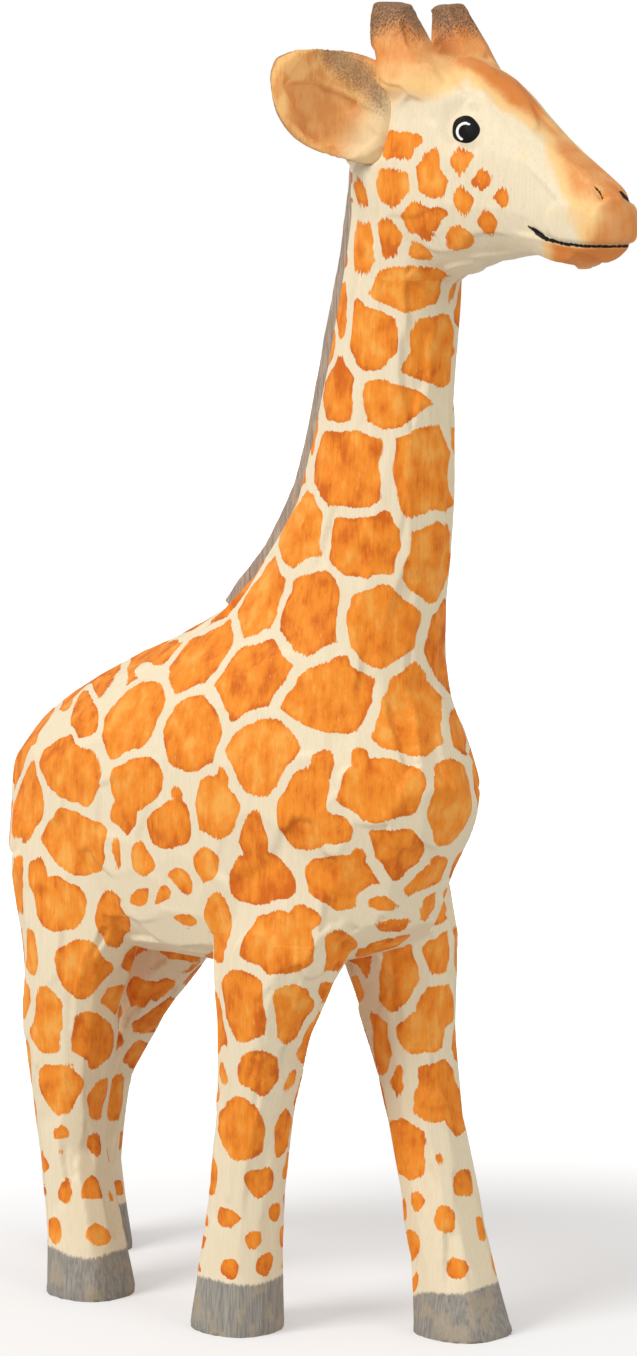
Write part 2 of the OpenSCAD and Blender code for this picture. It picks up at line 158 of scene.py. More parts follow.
BODY_PATCHES = (
    ((-22, 129.3, 4.4, 6.6, -35),),
    ((-32.5, 126.2, 5.2, 1.9, 20),),
    ((-12.5, 125, 5.6, 7, -32), (-15.5, 118, 1.6, 2.2, 0)),
    ((2, 120.8, 7.8, 6.4, 0), (3.5, 127.5, 2, 2.2, 0)),
    ((17.5, 117, 6, 7.7, 0),),
    ((26, 114.5, 2, 4.8, 0),),
    ((-44.5, 119.5, 6.2, 2.8, 32),),
    ((-35.3, 117.6, 5.6, 6.2, -50),),
    ((-23.5, 114.3, 5.2, 7.8, 0),),
    ((-10.5, 110, 5.8, 7.2, 0),),
    ((-3, 100, 5.2, 8, 0), (3, 96.5, 3.5, 3.5, 0), (0.5, 108, 2, 2.6, 0)),
    ((12, 103, 7.5, 6.2, 0), (8, 109.5, 1.6, 2, 0)),
    ((25.2, 101, 4.2, 8.4, 0),),
    ((-55.5, 102, 2.6, 8.6, -8),),
    ((-46.5, 107.5, 6.1, 6.2, 0),),
    ((-34.4, 104.3, 4.9, 5, 0), (-36.6, 99, 2.5, 3.4, 0)),
    ((-28.5, 97, 4, 4.9, 0), (-27.4, 102.3, 1.6, 2, 0)),
    ((-19.6, 100, 3.8, 5.6, 0), (-18, 106, 1, 2.5, 0)),
    ((-10.5, 86.3, 5.6, 4.6, 0), (-12, 93.8, 2.3, 5, 0)),
    ((-46, 93.2, 5.4, 5.6, 0),),
    ((-38.5, 92, 1.3, 3, 0),),
    ((-33.3, 90, 2.4, 3.2, 0),),
    ((-25.8, 86.2, 2, 2.3, 0),),
    ((-21.2, 89.3, 1.7, 3.9, 12),),
    ((-33.6, 83, 2, 1.4, -30),),
    ((-29.4, 83.5, 1.9, 1.3, -30),),
    ((-25, 78.8, 2, 1.1, 0),),
    ((-19, 78.5, 2.2, 5.5, 0), (-18.8, 73, 1.4, 2.6, 0)),
    ((-57, 86, 1.4, 7, 5),),
    ((-49, 81.6, 5.8, 5.2, 0), (-53, 87, 2, 3.6, 0)),
    ((-38.9, 78.5, 3.2, 5.5, 0),),
    ((4.5, 86, 6.2, 5.2, 0), (8.4, 91, 1.8, 2.4, 0)),
    ((15.4, 91.3, 3.2, 5.2, -35),),
    ((20.8, 86.8, 2.7, 3.8, -30),),
    ((26.8, 89, 1.2, 2.6, -35),),
    ((11.7, 81.5, 3.6, 2, 35),),
    ((20.6, 82.1, 1.6, 3.4, -25),),
    ((14.2, 78, 3.2, 2.1, 20),),
    ((-8, 74.3, 7, 5.8, 0), (-2.4, 79, 2.8, 2.6, 0)),
    ((23.4, 79.2, 1.8, 2.6, 0),),
    ((3.6, 72, 1.7, 6, -33),),
)
LEG_PATCHES = (
    ((14, 68.8, 4.7, 6, 0),),
    ((23.4, 73, 2, 5, 15),),
    ((7.3, 67.5, 1.3, 4, 12),),
    ((-54.5, 72, 1.6, 4.8, 0),),
    ((-44.7, 69.3, 5.2, 5.8, 0),),
    ((-51.5, 59.8, 4.2, 6.3, 0),),
    ((-41.9, 56.4, 4.4, 5.4, 0),),
    ((-49, 47.6, 4.2, 5, 0), (-46.6, 51.8, 1.6, 1.3, 0)),
    ((-55.2, 52.5, 0.9, 5, 10),),
    ((-41.8, 45, 1.9, 4.4, 0),),
    ((-48.8, 38.4, 1.9, 1.8, 0),),
    ((-48.5, 35.5, 0.8, 0.9, 0),),
    ((-53.5, 42, 0.8, 3, 5),),
    ((-42, 36.5, 1.4, 2.4, 0),),
    ((-52.3, 32.7, 0.9, 2.8, 5),),
    ((-47.6, 27.5, 1.9, 2.4, 0),),
    ((-42.9, 27.8, 1.9, 2.4, 20),),
    ((-39.3, 26.6, 0.7, 1.5, 15),),
    ((-49.8, 20, 1.3, 2.9, -18),),
    ((-41.8, 19.2, 2.2, 2.1, 20),),
    ((-34, 65.4, 4.4, 5.2, 0), (-29.5, 64.5, 3, 3.6, 0)),
    ((-27, 70.5, 5, 1.2, 0),),
    ((-34.2, 54.5, 2.1, 4.3, -20),),
    ((-38, 45.2, 2, 5.8, -8),),
    ((-36.9, 37.2, 0.6, 2.3, 0),),
    ((-37.7, 28.2, 1.1, 2.1, 0),),
    ((-14.8, 62.4, 4.7, 7.4, 0),),
    ((-4.4, 60, 3.5, 6.2, -15),),
    ((-18.3, 51, 1.1, 5.2, 0),),
    ((-11.4, 49.6, 4, 4.6, 0),),
    ((-4.8, 49.3, 1.2, 4.4, -12),),
    ((-15.3, 39.2, 4.6, 6.4, 0),),
    ((-6.5, 38.5, 2, 4.4, 0),),
    ((-20.3, 30.8, 0.9, 3.8, -6),),
    ((-11.1, 29.6, 2.8, 3.2, 0),),
    ((-21.6, 21.8, 0.5, 2.4, -8),),
    ((-17.3, 22.6, 2, 2.1, 0),),
    ((-8, 23.7, 1.4, 2, -10),),
    ((-12.4, 18.1, 1.5, 2, -15),),
    ((-16.8, 13.1, 2, 2.1, 0),),
    ((-10, 13.6, 1.4, 2.1, -20),),
    ((-22.6, 12.5, 0.5, 2.2, -8),),
    ((11.5, 55, 2.3, 6.2, 5),),
    ((19.5, 57.5, 4.7, 4.1, 0), (22.5, 62.8, 3, 4.6, 0)),
    ((15.2, 47, 1.9, 4.4, 0),),
    ((23, 46.8, 3.8, 5.6, 0), (26.3, 42.2, 2.2, 4, 0)),
    ((16, 35.3, 2.9, 5.8, 5),),
    ((22.5, 33.7, 2.4, 3.4, 0),),
    ((27.5, 29.1, 2.2, 2.9, 0),),
    ((18.3, 25.4, 1.1, 2, 0),),
    ((24, 22.4, 1.9, 2.9, 0),),
    ((30.9, 20.4, 1, 2.5, 8),),
    ((17.4, 17.4, 1.5, 3.5, 12),),
    ((26.2, 12.9, 2.2, 2.2, 0),),
    ((33, 13.6, 0.7, 2.3, 10),),
    ((14.2, 23.5, 0.5, 3, 8),),
    ((16.7, 10.5, 0.5, 3, 8),),
)


# ---------------------------------------------------------------- settings


class GiraffeCarving(bpy.types.PropertyGroup):
    """Sizes of the knife work."""

    grid: bpy.props.FloatProperty(
        name="Grid", description="Spacing of the body's mesh", default=0.57 * MM, unit="LENGTH", precision=5
    )
    head_grid: bpy.props.FloatProperty(
        name="Head grid", description="Spacing of the head's mesh", default=0.36 * MM, unit="LENGTH", precision=5
    )
    ear_grid: bpy.props.FloatProperty(
        name="Ear grid", description="Spacing of an ear's mesh", default=0.3 * MM, unit="LENGTH", precision=5
    )
    soften: bpy.props.FloatProperty(
        name="Soften", description="How far the blocks' edges are rounded before carving", default=1.7 * MM,
        unit="LENGTH", precision=5
    )
    bite: bpy.props.FloatProperty(
        name="Bite", description="Depth of the cuts at the middle of a facet", default=0.42 * MM,
        unit="LENGTH", precision=5
    )
    mouth_depth: bpy.props.FloatProperty(
        name="Mouth depth", description="Depth of the cut mouth line", default=0.8 * MM, unit="LENGTH", precision=5
    )


class GiraffePaint(bpy.types.PropertyGroup):
    """Colours of the stains and sizes of the brush work."""

    cream: bpy.props.FloatVectorProperty(
        name="Cream", description="Ground colour of the coat", subtype="COLOR", size=3, default=(0.87, 0.755, 0.55)
    )
    orange: bpy.props.FloatVectorProperty(
        name="Orange", description="Stain of the patches", subtype="COLOR", size=3, default=(0.9, 0.275, 0.024)
    )
    deep_orange: bpy.props.FloatVectorProperty(
        name="Deep orange", description="Stain where it has soaked in twice", subtype="COLOR", size=3,
        default=(0.66, 0.14, 0.01)
    )
    pale_orange: bpy.props.FloatVectorProperty(
        name="Pale orange", description="Stain where it is thin", subtype="COLOR", size=3, default=(0.94, 0.41, 0.075)
    )
    gap: bpy.props.FloatProperty(
        name="Gap", description="Width of the cream lines between close patches", default=2.1 * MM,
        unit="LENGTH", precision=5
    )


# ---------------------------------------------------------------- mesh tools


def merged_copy(name, grow=1.0):
    """Points and faces of a node, with its loose triangles joined; grow scales it about its middle."""
    bm = bmesh.new()
    bm.from_mesh(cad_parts[name].data)
    bmesh.ops.remove_doubles(bm, verts=bm.verts, dist=MERGE)
    if grow != 1.0:
        middle = sum((v.co for v in bm.verts), Vector()) / len(bm.verts)
        for v in bm.verts:
            v.co = middle + grow * (v.co - middle)
    return bm


def add_parts(bm, names, grow=1.0):
    """Adds copies of nodes to bm."""
    for name in names:
        mesh = plain_mesh("part", merged_copy(name, grow))
        bm.from_mesh(mesh)
        bpy.data.meshes.remove(mesh)


def plain_mesh(name, bm):
    """A mesh of what bm holds; bm is freed."""
    mesh = bpy.data.meshes.new(name)
    bm.to_mesh(mesh)
    bm.free()
    return mesh


def link(name, mesh):
    """An object of this mesh, at the origin."""
    obj = bpy.data.objects.new(name, mesh)
    bpy.context.scene.collection.objects.link(obj)
    return obj


def evaluated_mesh(obj):
    graph = bpy.context.evaluated_depsgraph_get()
    return bpy.data.meshes.new_from_object(obj.evaluated_get(graph))


def drop(obj):
    mesh = obj.data
    bpy.data.objects.remove(obj)
    bpy.data.meshes.remove(mesh)


def regrid(bm, grid):
    """The shapes in bm as one closed mesh of even quads; stray crumbs are left out."""
    obj = link("regrid", plain_mesh("regrid", bm))
    mod = obj.modifiers.new("grid", "REMESH")
    mod.mode = "VOXEL"
    mod.voxel_size = grid
    new = evaluated_mesh(obj)
    drop(obj)
    return keep_largest(new)


def keep_largest(mesh):
    """The mesh without the loose bits beside its largest one."""
    bm = bmesh.new()
    bm.from_mesh(mesh)
    bm.verts.ensure_lookup_table()
    group = [-1] * len(bm.verts)
    sizes = []
    for start in bm.verts:
        if group[start.index] >= 0:
            continue
        mark, todo, count = len(sizes), [start], 0
        group[start.index] = mark
        while todo:
            v = todo.pop()
            count += 1
            for e in v.link_edges:
                w = e.other_vert(v)
                if group[w.index] < 0:
                    group[w.index] = mark
                    todo.append(w)
        sizes.append(count)
    if len(sizes) > 1:
        best = sizes.index(max(sizes))
        crumbs = [v for v in bm.verts if group[v.index] != best]
        bmesh.ops.delete(bm, geom=crumbs, context="VERTS")
        bm.to_mesh(mesh)
    bm.free()
    return mesh


def points_of(mesh):
    """Vertex places in mm."""
    co = np.empty(len(mesh.vertices) * 3, np.float32)
    mesh.vertices.foreach_get("co", co)
    return co.reshape(-1, 3).astype(float) / MM


def set_points(mesh, points):
    mesh.vertices.foreach_set("co", (points * MM).astype(np.float32).ravel())
    mesh.update()


def normals_of(mesh):
    no = np.empty(len(mesh.vertices) * 3, np.float32)
    mesh.vertex_normals.foreach_get("vector", no)
    return no.reshape(-1, 3).astype(float)


def edges_of(mesh):
    e = np.empty(len(mesh.edges) * 2, np.int32)
    mesh.edges.foreach_get("vertices", e)
    return e.reshape(-1, 2)


def averaged(values, edges, degree):
    """Mean of each vertex's neighbours."""
    out = np.empty_like(values)
    for k in range(values.shape[1]):
        a = np.bincount(edges[:, 0], values[edges[:, 1], k], len(values))
        b = np.bincount(edges[:, 1], values[edges[:, 0], k], len(values))
        out[:, k] = (a + b) / degree
    return out


def smoothed(values, edges, rounds, share=0.5):
    """Rounds of smoothing; share may differ by vertex."""
    degree = np.bincount(edges.ravel(), minlength=len(values)).astype(float)
    share = np.broadcast_to(np.asarray(share, float), (len(values),))[:, None]
    values = values.copy()
    for _ in range(rounds):
        values += share * (averaged(values, edges, degree) - values)
    return values


def rounds_for(reach, h):
    """Rounds of smoothing that reach about so many mm on a grid of h mm."""
    return int((reach / h) ** 2 * 4)


def unit(v):
    """Vectors at length one."""
    return v / np.maximum(np.linalg.norm(v, axis=-1, keepdims=True), 1e-9)


def step(low, high, v):
    """Smooth step from 0 at low to 1 at high."""
    t = np.clip((v - low) / (high - low), 0, 1)
    return t * t * (3 - 2 * t)


def put_attribute(mesh, name, values):
    """Sets a value for each vertex, over any that a cut has carried along."""
    if name in mesh.attributes:
        mesh.attributes.remove(mesh.attributes[name])
    layer = mesh.attributes.new(name, "FLOAT", "POINT")
    layer.data.foreach_set("value", values.astype(np.float32))


def waves(points, length, seed, count=7):
    """Gentle noise between about -1 and 1 that repeats in no direction."""
    rng = np.random.default_rng(seed)
    total = np.zeros(len(points))
    for _ in range(count):
        direction = unit(rng.normal(size=3))
        size = length * rng.uniform(0.7, 1.5)
        total += np.sin(points @ direction * 2 * math.pi / size + rng.uniform(0, 2 * math.pi))
    return total / math.sqrt(count / 2) / 1.5


def solid_cut(obj, other, operation):
    """Cuts obj with another closed mesh."""
    mod = obj.modifiers.new("cut", "BOOLEAN")
    mod.solver = "MANIFOLD"
    mod.operation = operation
    mod.object = other
    bpy.context.view_layer.update()
    new = evaluated_mesh(obj)
    obj.modifiers.remove(mod)
    old = obj.data
    obj.data = new
    bpy.data.meshes.remove(old)


def prism(name, outline, y0, y1):
    """Closed block: an outline in x and z, in mm, drawn from y0 to y1."""
    bm = bmesh.new()
    near = [bm.verts.new((x * MM, y0 * MM, z * MM)) for x, z in outline]
    far = [bm.verts.new((x * MM, y1 * MM, z * MM)) for x, z in outline]
    n = len(outline)
    bm.faces.new(near)
    bm.faces.new(far[::-1])
    for i in range(n):
        bm.faces.new((near[i], far[i], far[(i + 1) % n], near[(i + 1) % n]))
    bmesh.ops.recalc_face_normals(bm, faces=bm.faces)
    return link(name, plain_mesh(name, bm))


# ---------------------------------------------------------------- knife work


def line_distance(p, line):
    """Distance of 2-D points from a chain of points, and how far along it, 0 to 1."""
    best = np.full(len(p), 1e9)
    along = np.zeros(len(p))
    n = len(line) - 1
    for i in range(n):
        a, b = np.array(line[i], float), np.array(line[i + 1], float)
        d = b - a
        t = np.clip((p - a) @ d / (d @ d), 0, 1)
        r = np.linalg.norm(p - (a + t[:, None] * d), axis=1)
        closer = r < best
        best[closer] = r[closer]
        along[closer] = ((i + t) / n)[closer]
    return best, along


def stroke_field(p):
    """For each point: the direction of the knife strokes, and a facet's length and width."""
    x, z = p[:, 0], p[:, 2]
    head = step(199, 206, z) * step(20, 27, x)
    horn = step(238, 242, z) * step(46, 43, x)
    neck = step(120, 140, z) * (1 - head)
    chest = step(8, 22, x) * step(82, 92, z) * (1 - neck) * (1 - head)
    leg = step(76, 62, z)
    hoof = step(12, 10, z)
    body = np.clip(1 - leg - neck - chest - head, 0, 1)
    d = np.zeros_like(p)
    d[:, 2] = leg + neck + chest + 0.35 * body + 0.001
    d[:, 0] = 0.3 * neck * step(200, 150, z) + 0.75 * body * step(88, 120, z) + 0.25 * body
    d[:, 0] += head * 0.85 * (1 - horn)
    d[:, 2] += -head * 0.5 * (1 - horn) * step(40, 50, x) + horn
    length = 20 * leg + 26 * neck + 19 * chest + 13 * body + 12 * head
    width = 5.8 * leg + 6 * neck + 6 * chest + 9.5 * body + 7.5 * head
    length = length * (1 - horn) + 9 * horn
    width = width * (1 - horn) + 4.4 * horn
    length = length * (1 - hoof) + 10 * hoof
    width = width * (1 - hoof) + 4.8 * hoof
    return unit(d), length, width


def facet_seeds(p, rng, spread=0.82, tries=9000):
    """Indices of points that stand about a facet apart."""
    d, length, width = stroke_field(p)
    chosen, place = [], []
    for i in rng.permutation(len(p))[:tries]:
        if chosen:
            q = np.array(place) - p[i]
            a = np.einsum("ij,j->i", q, d[i])
            c = np.maximum((q * q).sum(1) - a * a, 0)
            if ((a / length[i]) ** 2 + c / width[i] ** 2).min() < spread ** 2:
                continue
        chosen.append(i)
        place.append(p[i])
    return np.array(chosen)


def carve_facets(p, n, seeds_p, seeds_n, depth, nearest=6, blend=0.05, deeper=2.5):
    """How far each point moves along its normal, so that flat cuts meet between the seeds.
    deeper says how strongly the deeper of two cuts wins, per mm."""
    d, length, width = stroke_field(p)
    out = np.zeros(len(p))
    order = np.argsort(p[:, 2])
    for rows in np.array_split(order, 160):
        z0, z1 = p[rows, 2].min(), p[rows, 2].max()
        near = np.where((seeds_p[:, 2] > z0 - 34) & (seeds_p[:, 2] < z1 + 34))[0]
        sp, sn, sd = seeds_p[near], seeds_n[near], depth[near]
        q = sp[None] - p[rows][:, None]
        a = np.einsum("ijk,ik->ij", q, d[rows])
        c = np.maximum((q * q).sum(2) - a * a, 0)
        dist = (a / length[rows][:, None]) ** 2 + c / width[rows][:, None] ** 2
        dist += 0.6 * (1 - n[rows] @ sn.T)
        k = np.argpartition(dist, nearest, axis=1)[:, :nearest]
        qk = np.take_along_axis(q, k[:, :, None], 1)
        mk = sn[k]
        facing = np.maximum(np.einsum("ijk,ik->ij", mk, n[rows]), 0.5)
        move = (np.einsum("ijk,ijk->ij", qk, mk) - sd[k]) / facing
        dk = np.take_along_axis(dist, k, 1) + deeper * np.clip(move, -0.2, 0.6)
        w = np.exp(-(dk - dk.min(1, keepdims=True)) / blend)
        out[rows] = (w * np.clip(move, -1.2, 1.2)).sum(1) / w.sum(1)
    return out


def crisp(p):
    """Share of the softening that each place gets: hooves, horns and the muzzle keep their edges."""
    x, z = p[:, 0], p[:, 2]
    share = np.ones(len(p))
    share *= 1 - 0.93 * step(9, 4, z)
    share *= 1 - 0.85 * step(240, 244, z)
    share *= 1 - 0.55 * step(198, 206, z) * step(30, 55, x)
    return share


def horn_root(p):
    """Share of extra softening where the horns run into the crown."""
    return step(227, 232, p[:, 2]) * step(242, 238.5, p[:, 2]) * step(44, 36, p[:, 0])


def carve(mesh, grid, seeds, props):
    """Rounds the blank, cuts it to facets, and cuts the face's details."""
    p, edges = points_of(mesh), edges_of(mesh)
    h = grid / MM
    flat_sole = p[:, 2] < 0.6 * h
    p = smoothed(p, edges, rounds_for(props.soften / MM, h), 0.5 * crisp(p))
    p = smoothed(p, edges, rounds_for(2.4, h), 0.5 * horn_root(p))
    set_points(mesh, p)
    n = normals_of(mesh)
    n = unit(smoothed(n, edges, rounds_for(1.6, h)))
    if seeds is None:
        rng = np.random.default_rng(7)
        index = facet_seeds(p, rng)
        sp, sn = p[index], n[index]
        tilt = rng.normal(size=sn.shape) * 0.035
        horizontal = step(199, 210, sp[:, 2])[:, None]
        tilt[:, 2] *= 0.4 + 0.6 * horizontal[:, 0]
        bite = props.bite / MM * (1 + 0.3 * rng.normal(size=len(sp)))
        seeds = (sp, unit(sn + tilt), bite)
    move = carve_facets(p, n, *seeds)
    even = smoothed(move[:, None], edges, rounds_for(4.4, h))[:, 0]
    move -= even + props.bite / MM * 0.4
    face = step(199, 206, p[:, 2]) * step(20, 27, p[:, 0])
    horn = step(238, 241, p[:, 2])
    move = np.clip(move, -0.6, 0.32) * (1 - 0.45 * face * (1 - horn)) - 0.15 * horn
    move *= 1 - 0.5 * step(13, 9, p[:, 2])
    move *= 1 - step(1.5, 0, p[:, 2])
    p = p + n * move[:, None]
    p = face_cuts(p, n, props)
    p = smoothed(p, edges, max(1, rounds_for(0.35, h)))
    p[:, 2] = np.maximum(p[:, 2], 0)
    p[flat_sole, 2] = 0
    set_points(mesh, p)
    return seeds


def polar(q, centre):
    """Distance and angle of stencil places about a centre."""
    d = q - np.array(centre, float)
    return np.linalg.norm(d, axis=1), np.arctan2(d[:, 1], d[:, 0])


def face_cuts(p, n, props):
    """Eye sockets, mouth line and nostrils."""
    side = np.abs(p[:, 1])
    x, z = p[:, 0], p[:, 2]
    q = stencil_place(p)
    face = (z > 198) & (x > 20)
    cheek = face & (side > 6) & (np.abs(n[:, 1]) > 0.3)
    r, angle = polar(q, EYE)
    rear = 0.5 + 0.5 * np.cos(angle - math.radians(170))
    socket = 0.25 + 0.8 * rear
    move = -socket * np.exp(-((r - 3.7) / 1.5) ** 2)
    move += 0.25 * np.exp(-(r / 2.2) ** 2)
    move += 0.2 * np.exp(-((r - 6.6) / 1.6) ** 2) * step(0.2, 0.9, np.sin(angle))
    move = np.where(cheek, move, 0)
    gap, along = line_distance(np.stack([x, z], 1), MOUTH)
    cut = np.exp(-(gap / 0.42) ** 2) * props.mouth_depth / MM * step(0, 0.15, along)
    lip_z = np.interp(x, [m[0] for m in MOUTH], [m[1] for m in MOUTH])
    below = step(0, 0.8, lip_z - z) * step(62, 66, x) * step(3.5, 1.5, lip_z - z)
    move -= np.where(face & (x > 55), cut + 0.4 * below, 0)
    slit = np.exp(-(np.maximum(nostril_gap(p, q), 0) / 0.35) ** 2) * 0.6
    move -= np.where(face, slit, 0)
    return p + n * move[:, None]


def nostril_gap(p, q):
    """Distance to the edge of the nearer nostril, negative inside."""
    x, y, z = p[:, 0], p[:, 1], p[:, 2]
    near, along = line_distance(q, NOSTRIL)
    near = near - 0.2 * np.sin(math.pi * (0.1 + 0.75 * along))
    far, along = line_distance(stencil_place(p, False), NOSTRIL_FAR)
    far = far - 0.34 * np.sin(math.pi * (0.15 + 0.65 * along))
    gap = np.where(y < 0, near, far)
    return np.where((x > 60) & (z > 211) & (np.abs(y) > 0.8), gap, 9)


# ---------------------------------------------------------------- patches


def stencil_view():
    """Eye point of the stencil, its plane's right and up directions, in mm."""
    a = math.radians(STENCIL_ANGLE)
    target = np.array(STENCIL_TARGET, float)
    away = np.array([math.sin(a), -math.cos(a), 0]) * STENCIL_AWAY + np.array([0, 0, STENCIL_RISE])
    forward = unit(-away)
    right = np.array([math.cos(a), math.sin(a), 0])
    return target + away, target, right, np.cross(right, forward)


def stencil_place(p, mirrored=True):
    """Where points lie on the stencil; mirrored, the left side is seen as the right one's image."""
    eye, target, right, up = stencil_view()
    ray = p.copy()
    if mirrored:
        ray[:, 1] = -np.abs(p[:, 1])
    ray -= eye
    forward = unit(target - eye)
    scale = np.linalg.norm(target - eye) / (ray @ forward)
    return np.stack([(ray @ right) * scale, target[2] + (ray @ up) * scale], 1)


def cast_patches(tree):
    """Each stencil blob as (place, across, up, half width, half height, patch number)."""
    eye, target, right, up = stencil_view()
    blobs, number = [], 0
    for group in (CHEEK, NECK_PATCHES, BODY_PATCHES, LEG_PATCHES):
        for patch in group:
            for s, h, a, b, lean in patch:
                through = target + s * right + (h - target[2]) * up
                found, normal = None, None
                for nudge in (0, 0.4, -0.4, 0.8, -0.8, 1.3, -1.3, 2, -2):
                    ray = through + nudge * right - eye
                    hit = tree.ray_cast(Vector(eye * MM), Vector(ray).normalized(), 3)
                    if hit[0] is not None:
                        found, normal = np.array(hit[0]) / MM, np.array(hit[1])
                        break
                if found is None:
                    continue
                blobs.append(blob(found, normal, right, a, b, lean, number))
            number += 1
    return blobs, number


def blob(place, normal, right, a, b, lean, number):
    """A patch's blob turned on to the surface, and stretched where the stencil sees it at a slant."""
    across = unit(np.cross([0, 0, 1.0], normal))
    up = np.cross(normal, across)
    seen = max(abs(across @ right), 0.42)
    if abs(normal[2]) > 0.3:
        most = 2.6 if normal[2] > 0 else 1.4
        b *= min(1 / max(abs(up @ stencil_view()[3]), 0.3), most)
    t = math.radians(lean)
    across, up = math.cos(t) * across - math.sin(t) * up, math.cos(t) * up + math.sin(t) * across
    return (place, across, up, a * (abs(math.cos(t)) / seen + abs(math.sin(t))), b, number)


def coat_size(p):
    """Usual half size of a patch at a place."""
    z = p[2]
    if z > 202:
        return 2.5
    return float(np.interp(z, [10, 30, 45, 62, 80, 100, 140, 170, 200], [1.7, 2.3, 3.3, 4.8, 5.2, 6.6, 6.4, 6, 4.6]))


def in_coat(p, n):
    """Whether patches are painted at a place."""
    x, y, z = p
    if z < 12 or z > 224 or (z > 203 and (x > 54 or (x > 36 and z > 219))):
        return False
    if z > 198 and x > 32 and (n[2] < -0.4 or z < 206):
        return False
    if 64 < z < 84 and n[2] < -0.6 and -48 < x < 8:
        return False
    return not (abs(y) < 3.3 and x < 21 and z > 137 and n[0] < 0)


def fill_patches(blobs, number, tree, p, n, rng):
    """Mirrors the right side's patches, then fills the places that are still bare."""
    places = [b[0] for b in blobs]
    sizes = [math.sqrt(b[3] * b[4]) for b in blobs]
    eye = stencil_view()[0]

    def in_view(place, normal):
        """Whether the stencil already settles what is painted at a place."""
        ray = place - eye
        if unit(ray) @ normal > -0.1:
            return False
        hit = tree.ray_cast(Vector(eye * MM), Vector(ray).normalized(), 3)
        return hit[0] is not None and np.linalg.norm(np.array(hit[0]) / MM - place) < 1.5

    def room(place, size, share):
        q = np.linalg.norm(np.array(places) - place, axis=1)
        return (q - share * (np.array(sizes) + size)).min() > 0

    def add(place, normal, a, b, lean):
        right = unit(np.cross([0, 0, 1.0], normal))
        blobs.append(blob(place, normal, right, a, b, lean, number))
        places.append(place)
        sizes.append(math.sqrt(a * b))

    for place, across, up, a, b, _ in list(blobs):
        normal = np.cross(across, up)
        if normal[1] > -0.45 or place[2] < 66 or not in_coat(place, normal):
            continue
        near = tree.find_nearest(Vector((place[0] * MM, -place[1] * MM, place[2] * MM)))
        spot, face = np.array(near[0]) / MM, np.array(near[1])
        spot = spot + rng.normal(size=3) * 0.5
        if room(spot, math.sqrt(a * b), 0.8) and not in_view(spot, face):
            add(spot, face, a, b, rng.uniform(-15, 15))
            number += 1
    for share, grow in ((1.0, 1.3), (0.95, 1.15), (0.9, 1.0)):
        for i in rng.permutation(len(p))[:6000]:
            if not in_coat(p[i], n[i]):
                continue
            size = coat_size(p[i]) * rng.uniform(0.75, 1.15)
            spread = share + 0.35 if p[i][2] < 45 else share
            if room(p[i], size, spread * 0.92) and not in_view(p[i], n[i]):
                add(p[i], n[i], size * grow, size * grow * rng.uniform(1.0, 1.35), rng.uniform(-20, 20))
                number += 1
    return blobs, number


def patch_fields(p, blobs, gap):
    """Distance to the edge of the nearest patch, negative inside; how far this edge runs
    across the grain; and that patch's number."""
    place, across, up = (np.array([b[k] for b in blobs]) for k in range(3))
    grown = np.interp(place[:, 2], (20, 50), (1, 1.17))
    a, b_ = (np.array([b[k] for b in blobs]) * grown for k in (3, 4))
    which = np.array([b[5] for b in blobs])
    rng = np.random.default_rng(29)
    corners = 6
    turn = np.arange(corners) + rng.uniform(-0.3, 0.3, (len(blobs), corners))
    turn += rng.uniform(0, 1, (len(blobs), 1))
    turn *= 2 * math.pi / corners
    flat = rng.uniform(0.84, 0.98, (len(blobs), corners))
    wobble = np.stack([waves(p, 5, 11), waves(p, 5, 12), waves(p, 5, 13)], 1) * 0.22
    wobble += np.stack([waves(p, 2, 21), waves(p, 2, 22), waves(p, 2, 23)], 1) * 0.07
    w = p + wobble
    edge = np.full(len(p), 9.0)
    ends = np.zeros(len(p))
    tone = np.zeros(len(p), int)
    closest = 6
    rounding = 0.4
    order = np.argsort(p[:, 2])
    for rows in np.array_split(order, 200):
        z0, z1 = p[rows, 2].min(), p[rows, 2].max()
        near = np.where((place[:, 2] > min(z0, 220) - 20) & (place[:, 2] < z1 + 20))[0]
        q = w[rows][:, None] - place[near][None]
        u = np.einsum("ijk,jk->ij", q, across[near])
        v = np.einsum("ijk,jk->ij", q, up[near])
        out = np.maximum((q * q).sum(2) - u * u - v * v, 0)
        u, v, out = u / a[near], v / b_[near], out / (a[near] * b_[near])
        k = np.argpartition(u * u + v * v + out, min(closest, len(near) - 1), axis=1)[:, :closest]
        u, v, out = (np.take_along_axis(m, k, 1) for m in (u, v, out))
        chosen = near[k]
        facet = np.cos(turn[chosen]) * u[:, :, None] + np.sin(turn[chosen]) * v[:, :, None]
        facet = np.maximum(facet, 0) / flat[chosen]
        flats = ((facet ** 7).sum(2)) ** (1 / 7)
        e = np.sqrt(flats ** 2 + 0.6 * out)
        size = np.sqrt(a[chosen] * b_[chosen])
        d = (e - 1) * size
        first = np.argmin(d, 1)
        pick = (np.arange(len(rows)), first)
        f1 = d[pick]
        own = which[chosen][pick]
        f2 = np.where(which[chosen] == own[:, None], 99, d).min(1)
        bound = gap / 2 - (f2 - f1) / 2
        blend = np.clip(0.5 + 0.5 * (f1 - bound) / rounding, 0, 1)
        edge[rows] = bound + (f1 - bound) * blend + rounding * blend * (1 - blend)
        ends[rows] = v[pick] ** 2 / np.maximum(u[pick] ** 2 + v[pick] ** 2, 1e-6)
        tone[rows] = own
    return edge, ends, tone


# ---------------------------------------------------------------- materials


def linear(r, g, b):
    """Scene colour of an everyday 0 to 255 colour."""
    out = []
    for c in (r, g, b):
        c /= 255
        out.append(c / 12.92 if c <= 0.04045 else ((c + 0.055) / 1.055) ** 2.4)
    return (*out, 1)


